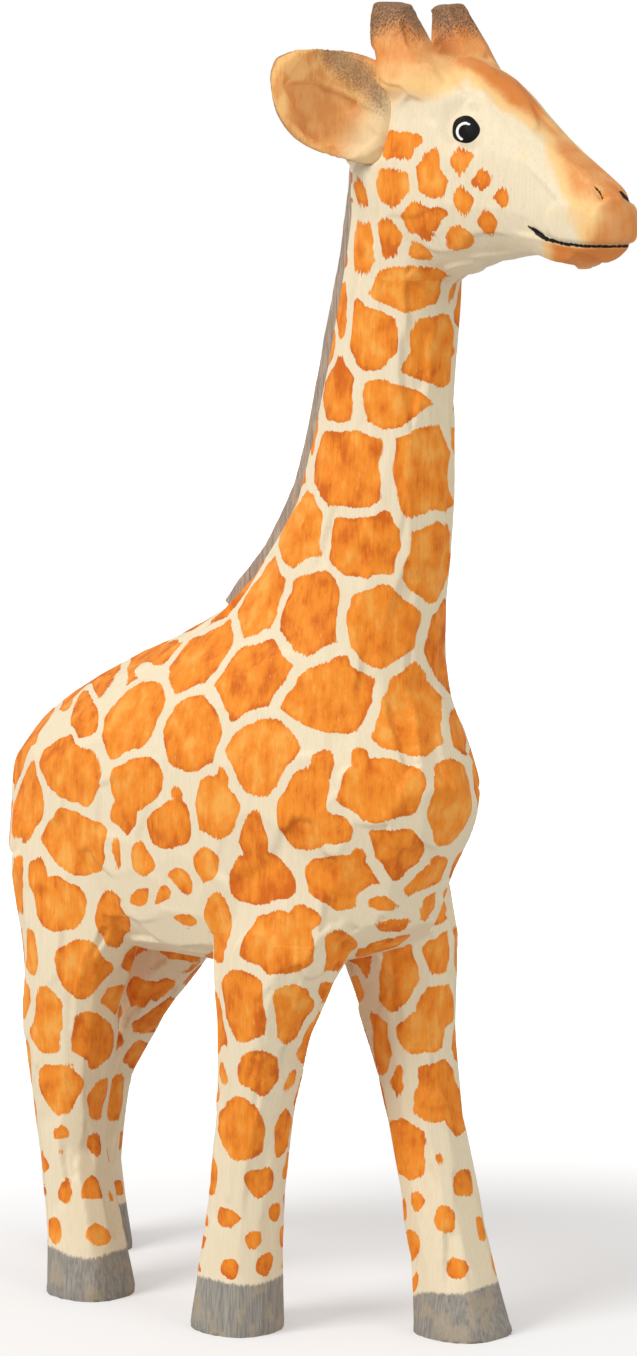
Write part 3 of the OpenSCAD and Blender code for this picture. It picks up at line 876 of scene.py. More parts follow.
class Paint:
    """Builds one node material."""

    def __init__(self, name, roughness):
        self.material = bpy.data.materials.new(name)
        self.material.use_nodes = True
        self.tree = self.material.node_tree
        self.shader = next(n for n in self.tree.nodes if n.type == "BSDF_PRINCIPLED")
        self.shader.inputs["Roughness"].default_value = roughness
        self.shader.inputs["Specular IOR Level"].default_value = 0.16
        self.place = self.tree.nodes.new("ShaderNodeTexCoord").outputs["Object"]

    def connect(self, value, socket):
        if hasattr(value, "is_output"):
            self.tree.links.new(value, socket)
        else:
            socket.default_value = value

    def attribute(self, name):
        node = self.tree.nodes.new("ShaderNodeAttribute")
        node.attribute_name = name
        return node.outputs["Fac"]

    def math(self, operation, a, b=0.0):
        node = self.tree.nodes.new("ShaderNodeMath")
        node.operation = operation
        self.connect(a, node.inputs[0])
        self.connect(b, node.inputs[1])
        return node.outputs[0]

    def swing(self, value, amount):
        """A noise about its middle, from -0.5 to 0.5 times amount."""
        return self.math("MULTIPLY", self.math("SUBTRACT", value, 0.5), amount)

    def relief(self, grain, pores):
        """Height of the wood: raised grain, sunk pores."""
        return self.math("ADD", self.math("MULTIPLY", grain, 0.6), self.math("MULTIPLY", pores, -0.6))

    def noise(self, lengths, detail=2.0, rough=0.5):
        """Noise whose features are these mm long in x, y and z."""
        mapping = self.tree.nodes.new("ShaderNodeMapping")
        mapping.inputs["Scale"].default_value = [1 / (v * MM) for v in lengths]
        self.tree.links.new(self.place, mapping.inputs["Vector"])
        node = self.tree.nodes.new("ShaderNodeTexNoise")
        node.inputs["Scale"].default_value = 1
        node.inputs["Detail"].default_value = detail
        node.inputs["Roughness"].default_value = rough
        self.tree.links.new(mapping.outputs[0], node.inputs["Vector"])
        return node.outputs["Fac"]

    def ramp(self, value, low, high, to_low=0.0, to_high=1.0):
        """Soft ramp of value from low to high."""
        node = self.tree.nodes.new("ShaderNodeMapRange")
        node.interpolation_type = "SMOOTHSTEP"
        self.connect(value, node.inputs["Value"])
        for key, v in (("From Min", low), ("From Max", high), ("To Min", to_low), ("To Max", to_high)):
            self.connect(v, node.inputs[key])
        return node.outputs[0]

    def mix(self, share, a, b):
        """Colour a, with a share of colour b over it."""
        node = self.tree.nodes.new("ShaderNodeMix")
        node.data_type = "RGBA"
        self.connect(share, node.inputs["Factor"])
        colours = [s for s in node.inputs if s.type == "RGBA"]
        self.connect(a, colours[0])
        self.connect(b, colours[1])
        return next(s for s in node.outputs if s.type == "RGBA")

    def finish(self, colour, height, strength=0.25, depth=0.00008):
        self.connect(colour, self.shader.inputs["Base Color"])
        bump = self.tree.nodes.new("ShaderNodeBump")
        bump.inputs["Strength"].default_value = strength
        bump.inputs["Distance"].default_value = depth
        self.tree.links.new(height, bump.inputs["Height"])
        self.tree.links.new(bump.outputs[0], self.shader.inputs["Normal"])
        return self.material


def stained(m, props, grain, pores, blotch, spikes):
    """Cream wash, orange stain, where the stain lies, and the streaks along the grain."""
    streak = m.noise((0.42, 0.42, 3.2), 3, 0.6)
    brush = m.noise((1.1, 1.1, 5), 3, 0.6)
    fleck = m.noise((0.3, 0.3, 1.3), 2, 0.6)
    edge = m.attribute("patch_mm")
    reach = m.math("ADD", m.math("MULTIPLY", m.attribute("patch_ends"), spikes), 0.5)
    ragged = m.swing(streak, reach)
    edge = m.math("ADD", edge, ragged)
    inside = m.ramp(edge, 0.1, -0.1)
    tone = m.math("ADD", m.math("MULTIPLY", m.attribute("patch_tone"), 0.08), blotch)
    tone = m.math("ADD", tone, m.swing(brush, 0.38))
    tone = m.math("ADD", tone, m.swing(grain, 0.3))
    rim = m.ramp(edge, -1.2, -0.1, 0, 0.09)
    tone = m.math("SUBTRACT", tone, rim)
    warm = tuple(c * k for c, k in zip(props.cream, (0.95, 0.92, 0.86)))
    cream = m.mix(m.ramp(grain, 0.3, 0.75), (*props.cream, 1), (*warm, 1))
    cream = m.mix(m.ramp(blotch, 0.5, 0.75, 0, 0.45), cream, linear(240, 222, 184))
    cream = m.mix(m.ramp(pores, 0.6, 0.8, 0, 0.35), cream, linear(206, 172, 126))
    stain = m.mix(m.ramp(tone, 0.52, 0.2), (*props.orange, 1), (*props.deep_orange, 1))
    stain = m.mix(m.ramp(tone, 0.48, 0.76), stain, (*props.pale_orange, 1))
    stain = m.mix(m.ramp(pores, 0.58, 0.78, 0, 0.4), stain, linear(176, 80, 22))
    stain = m.mix(m.ramp(fleck, 0.68, 0.78, 0, 0.55), stain, cream)
    return cream, stain, inside, streak


def coat_material(props):
    """Cream wash and orange stain over fine upright grain, with grey hooves."""
    m = Paint("Painted coat", 0.6)
    grain = m.noise((0.4, 0.4, 7), 4, 0.6)
    pores = m.noise((0.16, 0.16, 2.2), 2, 0.6)
    blotch = m.noise((3.6, 3.6, 5), 3, 0.5)
    cream, stain, inside, streak = stained(m, props, grain, pores, blotch, 0.9)
    coat = m.mix(inside, cream, stain)
    hoof_edge = m.math("ADD", m.attribute("hoof_mm"), m.swing(streak, 1.6))
    grey = m.mix(m.ramp(grain, 0.3, 0.7), linear(128, 124, 118), linear(166, 160, 151))
    grey = m.mix(m.ramp(blotch, 0.47, 0.62, 0, 0.7), grey, linear(176, 160, 138))
    grey = m.mix(m.ramp(pores, 0.55, 0.75, 0, 0.45), grey, linear(98, 94, 89))
    coat = m.mix(m.ramp(hoof_edge, 0.35, -0.35, 0, 0.96), coat, grey)
    return m.finish(coat, m.relief(grain, pores))


def face_material(props):
    m = Paint("Painted face", 0.55)
    grain = m.noise((0.6, 0.6, 7), 4, 0.6)
    pores = m.noise((0.16, 0.16, 1.6), 2, 0.6)
    blotch = m.noise((4, 4, 5), 2, 0.5)
    specks = m.noise((0.28, 0.28, 0.45), 2, 0.6)
    cream, stain, inside, _ = stained(m, props, grain, pores, blotch, 2.4)
    wash = m.math("ADD", m.attribute("wash"), m.swing(blotch, 0.45))
    wash = m.math("ADD", wash, m.swing(grain, 0.25))
    tan = m.mix(m.ramp(wash, 0.4, 1.0), linear(250, 204, 138), linear(226, 136, 64))
    face = m.mix(m.ramp(wash, 0.04, 0.42), cream, tan)
    face = m.mix(inside, face, stain)
    grey = m.mix(m.ramp(specks, 0.4, 0.62), linear(150, 116, 86), linear(88, 72, 60))
    soot = m.math("ADD", m.attribute("soot"), m.swing(specks, 1.3))
    face = m.mix(m.ramp(soot, 0.1, 1.0, 0, 0.9), face, grey)
    face = m.mix(m.ramp(pores, 0.6, 0.8, 0, 0.25), face, linear(190, 130, 76))
    rough = m.math("MULTIPLY", m.math("SUBTRACT", m.noise((0.5, 0.5, 0.9), 3), 0.5), 0.5)
    ink = m.math("ADD", m.attribute("ink_mm"), rough)
    face = m.mix(m.ramp(ink, 0.12, -0.08), face, linear(26, 18, 14))
    face = m.mix(m.ramp(m.attribute("eye_mm"), 0.06, -0.06), face, linear(10, 9, 9))
    face = m.mix(m.ramp(m.attribute("ring_mm"), 0.05, -0.05), face, linear(250, 250, 248))
    return m.finish(face, m.relief(grain, pores))


def ear_material():
    m = Paint("Painted ear", 0.6)
    grain = m.noise((0.45, 0.45, 5), 4, 0.6)
    pores = m.noise((0.16, 0.16, 1.4), 2, 0.6)
    blotch = m.noise((3, 3, 4), 2, 0.5)
    specks = m.noise((0.28, 0.28, 0.45), 2, 0.6)
    tone = m.math("ADD", blotch, m.swing(grain, 0.5))
    tan = m.mix(m.ramp(tone, 0.35, 0.68), linear(248, 192, 122), linear(224, 154, 86))
    # The ear's hollow is painted a deeper tan: painted shade in the recess
    tan = m.mix(m.ramp(m.attribute("hollow"), 0.2, 1, 0, 0.45), tan, linear(222, 148, 84))
    tan = m.mix(m.ramp(m.attribute("pale"), 0.1, 0.9, 0, 0.75), tan, linear(238, 216, 172))
    grey = m.mix(m.ramp(specks, 0.4, 0.65), linear(156, 126, 98), linear(98, 78, 64))
    soot = m.math("ADD", m.attribute("soot"), m.swing(specks, 0.9))
    ear = m.mix(m.ramp(soot, 0.12, 1, 0, 0.7), tan, grey)
    ear = m.mix(m.ramp(pores, 0.6, 0.78, 0, 0.35), ear, linear(170, 112, 64))
    return m.finish(ear, m.relief(grain, pores))


def grey_wood_material():
    m = Paint("Grey stained wood", 0.7)
    grain = m.noise((0.4, 0.4, 7), 4, 0.65)
    pores = m.noise((0.16, 0.16, 1.8), 2, 0.6)
    grey = m.mix(m.ramp(grain, 0.3, 0.7), linear(142, 126, 112), linear(190, 172, 154))
    grey = m.mix(m.ramp(pores, 0.55, 0.75, 0, 0.5), grey, linear(104, 90, 78))
    return m.finish(grey, m.relief(grain, pores))


def dowel_material():
    m = Paint("Bare beech", 0.6)
    grain = m.noise((0.5, 0.5, 6), 3, 0.6)
    pores = m.noise((0.2, 0.2, 1.6), 2, 0.6)
    wood = m.mix(m.ramp(grain, 0.3, 0.7), linear(224, 190, 142), linear(198, 156, 108))
    wood = m.mix(m.ramp(pores, 0.6, 0.8, 0, 0.5), wood, linear(150, 108, 68))
    return m.finish(wood, grain)


# ---------------------------------------------------------------- painting


def hoof_line(p):
    """Height above the edge of the grey hoof stain."""
    x, y, z = p[:, 0], p[:, 1], p[:, 2]
    fore = x > -25
    left = y > 0
    line = np.where(fore, np.where(left, 8.4 + 0.25 * (x - 30.5), 10.6), np.where(left, 10, 8.8))
    return z - line - 0.4 * waves(p, 14, 31)


def coat_tones(number):
    """How light or dark each patch is, from -1 to 1."""
    rng = np.random.default_rng(5)
    return rng.uniform(-1, 1, number + 1)


def paint_coat(mesh, skin):
    """Patches and hoof stain of a piece of the coat; gives its points back."""
    p = points_of(mesh)
    edge, ends, own = patch_fields(p, skin["blobs"], skin["gap"])
    hoof = hoof_line(p)
    edge = np.maximum(edge, 0.8 - hoof)
    put_attribute(mesh, "patch_mm", edge)
    put_attribute(mesh, "patch_ends", ends)
    put_attribute(mesh, "patch_tone", coat_tones(skin["number"])[own])
    put_attribute(mesh, "hoof_mm", hoof)
    return p


def paint_face(mesh, skin):
    """Washes, sooty horn tops and inked lines of the face, over the coat's patches."""
    p = paint_coat(mesh, skin)
    n = normals_of(mesh)
    x, z = p[:, 0], p[:, 2]
    side = np.abs(p[:, 1])
    q = stencil_place(p)
    top = np.interp(q[:, 0], [v[0] for v in FACE_TOP], [v[1] for v in FACE_TOP])
    above = q[:, 1] - top + 0.6 * waves(p, 12, 51)
    brow = step(46, 40, x)
    soft = np.interp(q[:, 0], (20, 32), (6, 2.6))
    band = step(-1, 1, above / soft) * (0.55 + 0.45 * step(0, 5, above) * (1 - 0.35 * brow * step(236, 240, z)))
    behind = step(24, 30, x) + step(230, 238, z)
    muzzle = step(45.3, 51, q[:, 0] + 0.35 * (q[:, 1] - 212))
    # A paler round spot on the side of the muzzle, where the wash is thinned: a painted highlight
    light = 0.42 * np.exp(-((q[:, 0] - 50.3) ** 2 + (q[:, 1] - 212) ** 2) / 9)
    lip_z = np.interp(x, [m[0] for m in MOUTH], [m[1] for m in MOUTH])
    chin = step(0, 0.6, lip_z - z) * step(60, 64.5, x)
    crown = 0.62 * step(229.5, 238, z + waves(p, 10, 53)) * step(32, 24, q[:, 0])
    wash = np.maximum(np.maximum(band * np.clip(behind, 0, 1), crown), muzzle * (0.78 - light))
    wash = np.maximum(wash, 0.98 * chin * step(41, 46, q[:, 0]))
    put_attribute(mesh, "wash", wash * step(199, 205, z))
    rear = step(29, 25.5, x)
    soot = step(240.5, 248.5, z + 0.9 * waves(p, 9, 41)) + 0.6 * rear * step(236, 242, z)
    put_attribute(mesh, "soot", soot)
    line, along = line_distance(np.stack([x, z], 1), MOUTH)
    width = np.interp(along, [0, 0.12, 0.3, 1], [0.1, 0.5, 0.32, 0.22])
    ink = np.where(x > 60, line - width, 9)
    put_attribute(mesh, "ink_mm", np.minimum(ink, nostril_gap(p, q)))
    cheek = (side > 5) & (np.abs(n[:, 1]) > 0.2) & (z > 215)
    r, angle = polar(q, EYE)
    disc = r - 2.62 - 0.07 * np.cos(3 * angle + 0.6) - 0.05 * np.cos(5 * angle)
    put_attribute(mesh, "eye_mm", np.where(cheek, disc, 9))
    r, angle = polar(q, EYE_RING)
    turn = (np.degrees(angle) - 24) % 360
    width = 0.25 * np.minimum(step(0, 50, turn), step(262, 215, turn)) - 0.02
    ring = np.abs(r - 1.62 + 0.1 * np.abs(np.cos(angle))) - width
    put_attribute(mesh, "ring_mm", np.where(cheek & (turn < 262), ring, 9))


# ---------------------------------------------------------------- operators


# The carved blank, its patches and its paints, which the operators share
SKIN = {}


def carved_skin(context):
    """The blank carved whole, at the body's and at the head's grid; made once."""
    if SKIN:
        return SKIN
    props = context.scene.giraffe_carving
    bm = bmesh.new()
    add_parts(bm, BLOCKS + DOWELS)
    fill_groove(bm)
    upper = bm.copy()
    whole = regrid(bm, props.grid)
    seeds = carve(whole, props.grid, None, props)
    low = [f for f in upper.faces if f.calc_center_median().z < (HEAD_JOINT_Z - 24) * MM]
    bmesh.ops.delete(upper, geom=low, context="FACES")
    edges = [e for e in upper.edges if e.is_boundary]
    bmesh.ops.holes_fill(upper, edges=edges)
    fine = regrid(upper, props.head_grid)
    carve(fine, props.head_grid, seeds, props)
    SKIN["body"] = whole
    SKIN["head"] = fine
    p, n = points_of(whole), normals_of(whole)
    tree = BVHTree.FromPolygons((p * MM).tolist(), [tuple(f.vertices) for f in whole.polygons])
    rng = np.random.default_rng(3)
    blobs, number = cast_patches(tree)
    blobs, number = fill_patches(blobs, number, tree, p, n, rng)
    SKIN["blobs"] = blobs
    SKIN["number"] = number
    SKIN["gap"] = context.scene.giraffe_paint.gap / MM
    SKIN["coat"] = coat_material(context.scene.giraffe_paint)
    SKIN["face"] = face_material(context.scene.giraffe_paint)
    SKIN["ear"] = ear_material()
    SKIN["grey"] = grey_wood_material()
    return SKIN


def fill_groove(bm):
    """Fills the mane's groove, so that the knife runs over an even nape."""
    part = merged_copy("mane")
    for v in part.verts:
        v.co.x += 3 * MM
    mesh = plain_mesh("part", part)
    bm.from_mesh(mesh)
    bpy.data.meshes.remove(mesh)


def cut_piece(name, source, cutters, fills=()):
    """A piece of source: cutters are (object, operation), fills the dowels that it leaves room for."""
    obj = link("carved_" + name, source.copy())
    for cutter, operation in cutters:
        solid_cut(obj, cutter, operation)
    for node in fills:
        other = link("fill", plain_mesh("fill", merged_copy(node)))
        solid_cut(obj, other, "DIFFERENCE")
        drop(other)
    obj.data.name = obj.name
    return obj


def finish_piece(obj, material, node, sharp=38):
    """Gives a piece its paint, sets it under the root and hides its node; edges above sharp degrees stay crisp."""
    obj.data.materials.clear()
    obj.data.materials.append(material)
    obj.data.shade_smooth()
    obj.data.set_sharp_from_angle(angle=math.radians(sharp))
    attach(obj, "root")
    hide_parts(node)


# Further out than any part of the giraffe, in mm
BIG = 300


def leg_outline(fore):
    """Space of one leg, seen from the side, in mm."""
    seat = FORE_CUT_X if fore else HIND_CUT_X
    end = BIG if fore else -BIG
    return ((MID_CUT_X, -BIG), (end, -BIG), (end, LEG_JOINT_Z), (seat, LEG_JOINT_Z),
            (seat, UNDER_BELLY_Z), (MID_CUT_X, UNDER_BELLY_Z))


def legs_outline():
    """Space of the two legs of one side, seen from the side, in mm."""
    return ((-BIG, -BIG), (BIG, -BIG), (BIG, LEG_JOINT_Z), (FORE_CUT_X, LEG_JOINT_Z),
            (FORE_CUT_X, UNDER_BELLY_Z), (HIND_CUT_X, UNDER_BELLY_Z), (HIND_CUT_X, LEG_JOINT_Z),
            (-BIG, LEG_JOINT_Z))


def slab(name, z0, z1):
    """Everything between two heights."""
    return prism(name, ((-BIG, z0), (BIG, z0), (BIG, z1), (-BIG, z1)), -BIG, BIG)


class GIRAFFE_OT_trims(bpy.types.Operator):
    """Makes the ears, the mane and the tail, which are let into the carved skin."""

    bl_idname = "giraffe.trims"
    bl_label = "Ears, mane and tail"

    def execute(self, context):
        skin = carved_skin(context)
        tree = sweep_tree()
        skin["mane"] = make_strip("mane", tree, skin["grey"], 6, 0.12, 28, 1.0)
        skin["tail"] = make_strip("tail", tree, skin["grey"], 12, 0.42, 24, 2.0)
        for node, side in (("ear_right", -1), ("ear_left", 1)):
            skin[node] = make_ear(context, node, side)
        for node, peg, material, slot in (
            ("mane", (), skin["grey"], "grey_stained_wood"),
            ("tail", ("tail_peg",), skin["grey"], "grey_stained_wood"),
            ("ear_right", ("ear_peg_right",), skin["ear"], "painted_ear"),
            ("ear_left", ("ear_peg_left",), skin["ear"], "painted_ear"),
        ):
            piece = cut_piece(node, skin[node].data, (), peg)
            finish_piece(piece, material, node)
        return {"FINISHED"}


def make_ear(context, node, side):
    """A leaf with a hollow front, a fold along it and a thick root."""
    grid = context.scene.giraffe_carving.ear_grid
    bm = merged_copy(node)
    add_parts(bm, (node.replace("ear_", "ear_peg_"),), 1.12)
    ear = regrid(bm, grid)
    p, edges = points_of(ear), edges_of(ear)
    h = grid / MM
    p = smoothed(p, edges, rounds_for(0.4, h))
    set_points(ear, p)
    n = unit(smoothed(normals_of(ear), edges, 12))
    rng = np.random.default_rng(17 if side < 0 else 18)
    chosen = []
    for i in rng.permutation(len(p))[:3000]:
        if not chosen or np.linalg.norm(p[chosen] - p[i], axis=1).min() > 4.6:
            chosen.append(i)
    sp, sn = p[chosen], unit(n[chosen] + rng.normal(size=(len(chosen), 3)) * 0.04)
    q = sp[None] - p[:, None]
    dist = (q * q).sum(2) / 36 + 0.6 * (1 - n @ sn.T)
    w = np.exp(-(dist - dist.min(1, keepdims=True)) / 0.03)
    facing = np.maximum(n @ sn.T, 0.5)
    move = np.clip((np.einsum("ijk,jk->ij", q, sn) - 0.1) / facing, -0.5, 0.3)
    move = (w * move).sum(1) / w.sum(1)
    out, front, hollow = ear_hollow(p, n, side)
    move -= 1.25 * hollow
    p = p + n * move[:, None]
    p = smoothed(p, edges, 2)
    set_points(ear, p)
    obj = link("blank_" + node, ear)
    dark = line_distance(np.stack([out, p[:, 2]], 1), ((0, 230.5), (3.5, 236), (7, 240.8)))[0]
    rim = 0.95 * np.exp(-(dark / 2.4) ** 2) * step(-0.5, 2.5, out)
    soot = (1 - front) * 0.85 * step(-1, 2, out) + rim + 0.15 * step(236, 241, p[:, 2])
    put_attribute(ear, "soot", np.clip(soot, 0, 1))
    put_attribute(ear, "pale", step(8.5, 1.5, out + 0.35 * (p[:, 2] - 226)) * front)
    # The hollow's share also darkens the ear's tan there, as painted shade
    put_attribute(ear, "hollow", hollow)
    return obj


def ear_hollow(p, n, side):
    """How far out each point of an ear lies, how much it faces forward, and its share of the hollow."""
    out = side * p[:, 1] - EAR_SEAT_Y
    z = p[:, 2]
    slope = math.radians(EAR_SWEEP)
    front = step(0.1, 0.55, n[:, 0] * math.cos(slope) + side * n[:, 1] * math.sin(slope))
    bins = np.linspace(0, out.max(), 24)
    place = np.clip(np.digitize(out, bins), 1, len(bins) - 1)
    low = np.array([z[place == k].min() for k in range(1, len(bins))])
    middle = (bins[1:] + bins[:-1]) / 2
    rim = np.minimum(z - np.interp(out, middle, low), out.max() - out)
    fold = np.interp(out, [f[0] for f in EAR_FOLD[::-1]], [f[1] for f in EAR_FOLD[::-1]])
    hollow = front * step(-0.1, 0.9, fold - z) * step(0.7, 3, rim) * step(1.5, 5.5, out)
    return out, front, hollow


def sweep_tree():
    """Node group that sweeps a rounded bar along a chain of points carrying a width and a depth."""
    tree = bpy.data.node_groups.new("Swept strip", "GeometryNodeTree")
    tree.is_modifier = True
    tree.interface.new_socket("Geometry", in_out="INPUT", socket_type="NodeSocketGeometry")
    for name, kind in (
        ("Spacing", "Float"), ("Points around", "Int"), ("Corner", "Float"), ("Cut length", "Float"),
        ("Cut depth", "Float"), ("Seed", "Float"), ("Wood", "Material"),
    ):
        tree.interface.new_socket(name, in_out="INPUT", socket_type="NodeSocket" + kind)
    tree.interface.new_socket("Geometry", in_out="OUTPUT", socket_type="NodeSocketGeometry")
    sizes = tree.nodes.new("NodeGroupInput").outputs

    def node(kind, links, **settings):
        """Adds a node; links maps its inputs to sockets or values."""
        new = tree.nodes.new(kind)
        for key, value in settings.items():
            setattr(new, key, value)
        for key, value in links.items():
            if hasattr(value, "is_output"):
                tree.links.new(value, new.inputs[key])
            else:
                new.inputs[key].default_value = value
        return new

    position = node("GeometryNodeInputPosition", {}).outputs[0]
    chain = node("GeometryNodeMeshToCurve", {"Mesh": sizes["Geometry"]}).outputs[0]
    chain = node("GeometryNodeResampleCurve", {"Curve": chain, "Length": sizes["Spacing"]}, mode="LENGTH").outputs[0]
    keep = tree.nodes.new("GeometryNodeCaptureAttribute")
    keep.capture_items.new("VECTOR", "Centre")
    tree.links.new(chain, keep.inputs[0])
    tree.links.new(position, keep.inputs["Centre"])
    centre = keep.outputs["Centre"]
    bar = node("GeometryNodeCurvePrimitiveQuadrilateral", {"Width": 1, "Height": 1}).outputs[0]
    bar = node("GeometryNodeFilletCurve", {"Curve": bar, "Radius": sizes["Corner"], "Count": 3}, mode="POLY").outputs[0]
    bar = node("GeometryNodeResampleCurve", {"Curve": bar, "Count": sizes["Points around"]}, mode="COUNT").outputs[0]
    swept = node("GeometryNodeCurveToMesh", {"Curve": keep.outputs[0], "Profile Curve": bar, "Fill Caps": True})
    width, depth = (
        node("GeometryNodeInputNamedAttribute", {"Name": name}, data_type="FLOAT").outputs["Attribute"]
        for name in ("width", "depth")
    )
    size = node("ShaderNodeCombineXYZ", {"X": depth, "Y": width, "Z": depth}).outputs[0]
    off = node("ShaderNodeVectorMath", {0: position, 1: centre}, operation="SUBTRACT").outputs[0]
    off = node("ShaderNodeVectorMath", {0: off, 1: size}, operation="MULTIPLY").outputs[0]
    place = node("ShaderNodeVectorMath", {0: centre, 1: off}, operation="ADD").outputs[0]
    strip = node("GeometryNodeSetPosition", {"Geometry": swept.outputs[0], "Position": place}).outputs[0]
    often = node("ShaderNodeMath", {0: 1.0, 1: sizes["Cut length"]}, operation="DIVIDE").outputs[0]
    noise = node(
        "ShaderNodeTexNoise", {"Vector": position, "W": sizes["Seed"], "Scale": often, "Detail": 1.0},
        noise_dimensions="4D").outputs[0]
    cut = node("ShaderNodeMath", {0: noise, 1: 0.5}, operation="SUBTRACT").outputs[0]
    cut = node("ShaderNodeMath", {0: cut, 1: sizes["Cut depth"]}, operation="MULTIPLY").outputs[0]
    normal = node("GeometryNodeInputNormal", {}).outputs[0]
    cut = node("ShaderNodeVectorMath", {0: normal, "Scale": cut}, operation="SCALE").outputs[0]
    strip = node("GeometryNodeSetPosition", {"Geometry": strip, "Offset": cut}).outputs[0]
    strip = node("GeometryNodeRealizeInstances", {"Geometry": strip}).outputs[0]
    strip = node("GeometryNodeSetMaterial", {"Geometry": strip, "Material": sizes["Wood"]}).outputs[0]
    tree.links.new(strip, tree.nodes.new("NodeGroupOutput").inputs[0])
    return tree


def strip_path(name, least):
    """Chain of points up the middle of a node, from its level rings of at least so many points."""
    p = np.unique(np.round(points_of(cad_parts[name].data), 2), axis=0)
    rows = []
    for z in np.unique(p[:, 2]):
        ring = p[p[:, 2] == z]
        if len(ring) >= least:
            rows.append(((ring[:, 0].min() + ring[:, 0].max()) / 2, z, np.ptp(ring[:, 0]), np.ptp(ring[:, 1])))
    x, z, deep, wide = np.array(rows).T
    run = np.hypot(np.gradient(x), np.gradient(z))
    deep = deep * np.abs(np.gradient(z)) / run
    mesh = bpy.data.meshes.new(name + "_path")
    mesh.from_pydata([(a * MM, 0, b * MM) for a, b in zip(x, z)], [(i, i + 1) for i in range(len(x) - 1)], [])
    put_attribute(mesh, "depth", deep * MM)
    put_attribute(mesh, "width", wide * MM)
    return mesh


def make_strip(node, tree, wood, least, corner, around, seed):
    """Sweeps the mane or the tail along its node's middle line."""
    obj = link("path_" + node, strip_path(node, least))
    mod = obj.modifiers.new("sweep", "NODES")
    mod.node_group = tree
    values = {
        "Spacing": 0.5 * MM, "Points around": around, "Corner": corner, "Cut length": 3.5 * MM,
        "Cut depth": 0.5 * MM, "Seed": seed, "Wood": wood,
    }
    for item in tree.interface.items_tree:
        if item.in_out == "INPUT" and item.name in values:
            mod[item.identifier] = values[item.name]
    mesh = evaluated_mesh(obj)
    obj.modifiers.remove(mod)
    drop(obj)
    bm = bmesh.new()
    bm.from_mesh(mesh)
    bmesh.ops.triangulate(bm, faces=[f for f in bm.faces if len(f.verts) > 4])
    bmesh.ops.recalc_face_normals(bm, faces=bm.faces)
    bm.to_mesh(mesh)
    bm.free()
    return link("blank_" + node, mesh)


class GIRAFFE_OT_body(bpy.types.Operator):
    """Cuts the torso, the neck and the head out of the carved skin."""

    bl_idname = "giraffe.body"
    bl_label = "Torso, neck and head"

    def execute(self, context):
        skin = carved_skin(context)
        below = slab("below", -BIG, NECK_JOINT_Z)
        middle = slab("middle", NECK_JOINT_Z, HEAD_JOINT_Z)
        above = slab("above", HEAD_JOINT_Z, BIG)
        right = prism("right", legs_outline(), -BIG, -TONGUE_HALF)
        left = prism("left", legs_outline(), TONGUE_HALF, BIG)
        torso = cut_piece(
            "torso", skin["body"],
            ((below, "INTERSECT"), (right, "DIFFERENCE"), (left, "DIFFERENCE"),
             (skin["mane"], "DIFFERENCE"), (skin["tail"], "DIFFERENCE")),
            FILLS["torso"])
        neck = cut_piece("neck", skin["body"], ((middle, "INTERSECT"), (skin["mane"], "DIFFERENCE")), FILLS["neck"])
        head = cut_piece(
            "head", skin["head"],
            ((above, "INTERSECT"), (skin["mane"], "DIFFERENCE"), (skin["ear_right"], "DIFFERENCE"),
             (skin["ear_left"], "DIFFERENCE")),
            FILLS["head"])
        trims = [skin.pop(node) for node in ("mane", "tail", "ear_right", "ear_left")]
        for cutter in (below, middle, above, right, left, *trims):
            drop(cutter)
        for obj, paint, material, slot in (
            (torso, paint_coat, skin["coat"], "painted_coat"),
            (neck, paint_coat, skin["coat"], "painted_coat"),
            (head, paint_face, skin["face"], "painted_face"),
        ):
            paint(obj.data, skin)
            finish_piece(obj, material, obj.name.removeprefix("carved_"))
        return {"FINISHED"}


class GIRAFFE_OT_legs(bpy.types.Operator):
    """Cuts the four legs out of the carved skin."""

    bl_idname = "giraffe.legs"
    bl_label = "Legs"

    def execute(self, context):
        skin = carved_skin(context)
        for node in BLOCKS[3:]:
            right = node.endswith("right")
            y0, y1 = (-BIG, -TONGUE_HALF) if right else (TONGUE_HALF, BIG)
            space = prism("space", leg_outline(node.startswith("fore")), y0, y1)
            obj = cut_piece(node, skin["body"], ((space, "INTERSECT"),), FILLS[node])
            drop(space)
            paint_coat(obj.data, skin)
            finish_piece(obj, skin["coat"], node)
        return {"FINISHED"}


class GIRAFFE_OT_dowels(bpy.types.Operator):
    """Gives the hidden dowels and pegs their bare wood."""

    bl_idname = "giraffe.dowels"
    bl_label = "Dowels and pegs"

    def execute(self, context):
        wood = dowel_material()
        for node in DOWELS:
            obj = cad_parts[node]
            if not obj.material_slots:
                raise RuntimeError(f"{node} has no material slot")
            for slot in obj.material_slots:
                slot.link = "OBJECT"
                slot.material = wood
        return {"FINISHED"}


def floor_material():
    """Pale paper that fades to white away from the object; its glow is only for the eye."""
    material = bpy.data.materials.new("Pale floor")
    material.use_nodes = True
    tree = material.node_tree
    shader = next(n for n in tree.nodes if n.type == "BSDF_PRINCIPLED")
    shader.inputs["Base Color"].default_value = (0.62, 0.62, 0.62, 1)
    shader.inputs["Roughness"].default_value = 0.95
    shader.inputs["Specular IOR Level"].default_value = 0
    shader.inputs["Emission Color"].default_value = (1, 1, 1, 1)
    place = tree.nodes.new("ShaderNodeTexCoord")
    away = tree.nodes.new("ShaderNodeVectorMath")
    away.operation = "LENGTH"
    fade = tree.nodes.new("ShaderNodeMapRange")
    fade.interpolation_type = "SMOOTHSTEP"
    for key, value in (("From Min", 0.06), ("From Max", 0.34), ("To Min", 0.33), ("To Max", 1)):
        fade.inputs[key].default_value = value
    path = tree.nodes.new("ShaderNodeLightPath")
    glow = tree.nodes.new("ShaderNodeMath")
    glow.operation = "MULTIPLY"
    tree.links.new(place.outputs["Object"], away.inputs[0])
    tree.links.new(away.outputs["Value"], fade.inputs["Value"])
    tree.links.new(fade.outputs[0], glow.inputs[0])
    tree.links.new(path.outputs["Is Camera Ray"], glow.inputs[1])
    tree.links.new(glow.outputs[0], shader.inputs["Emission Strength"])
    return material


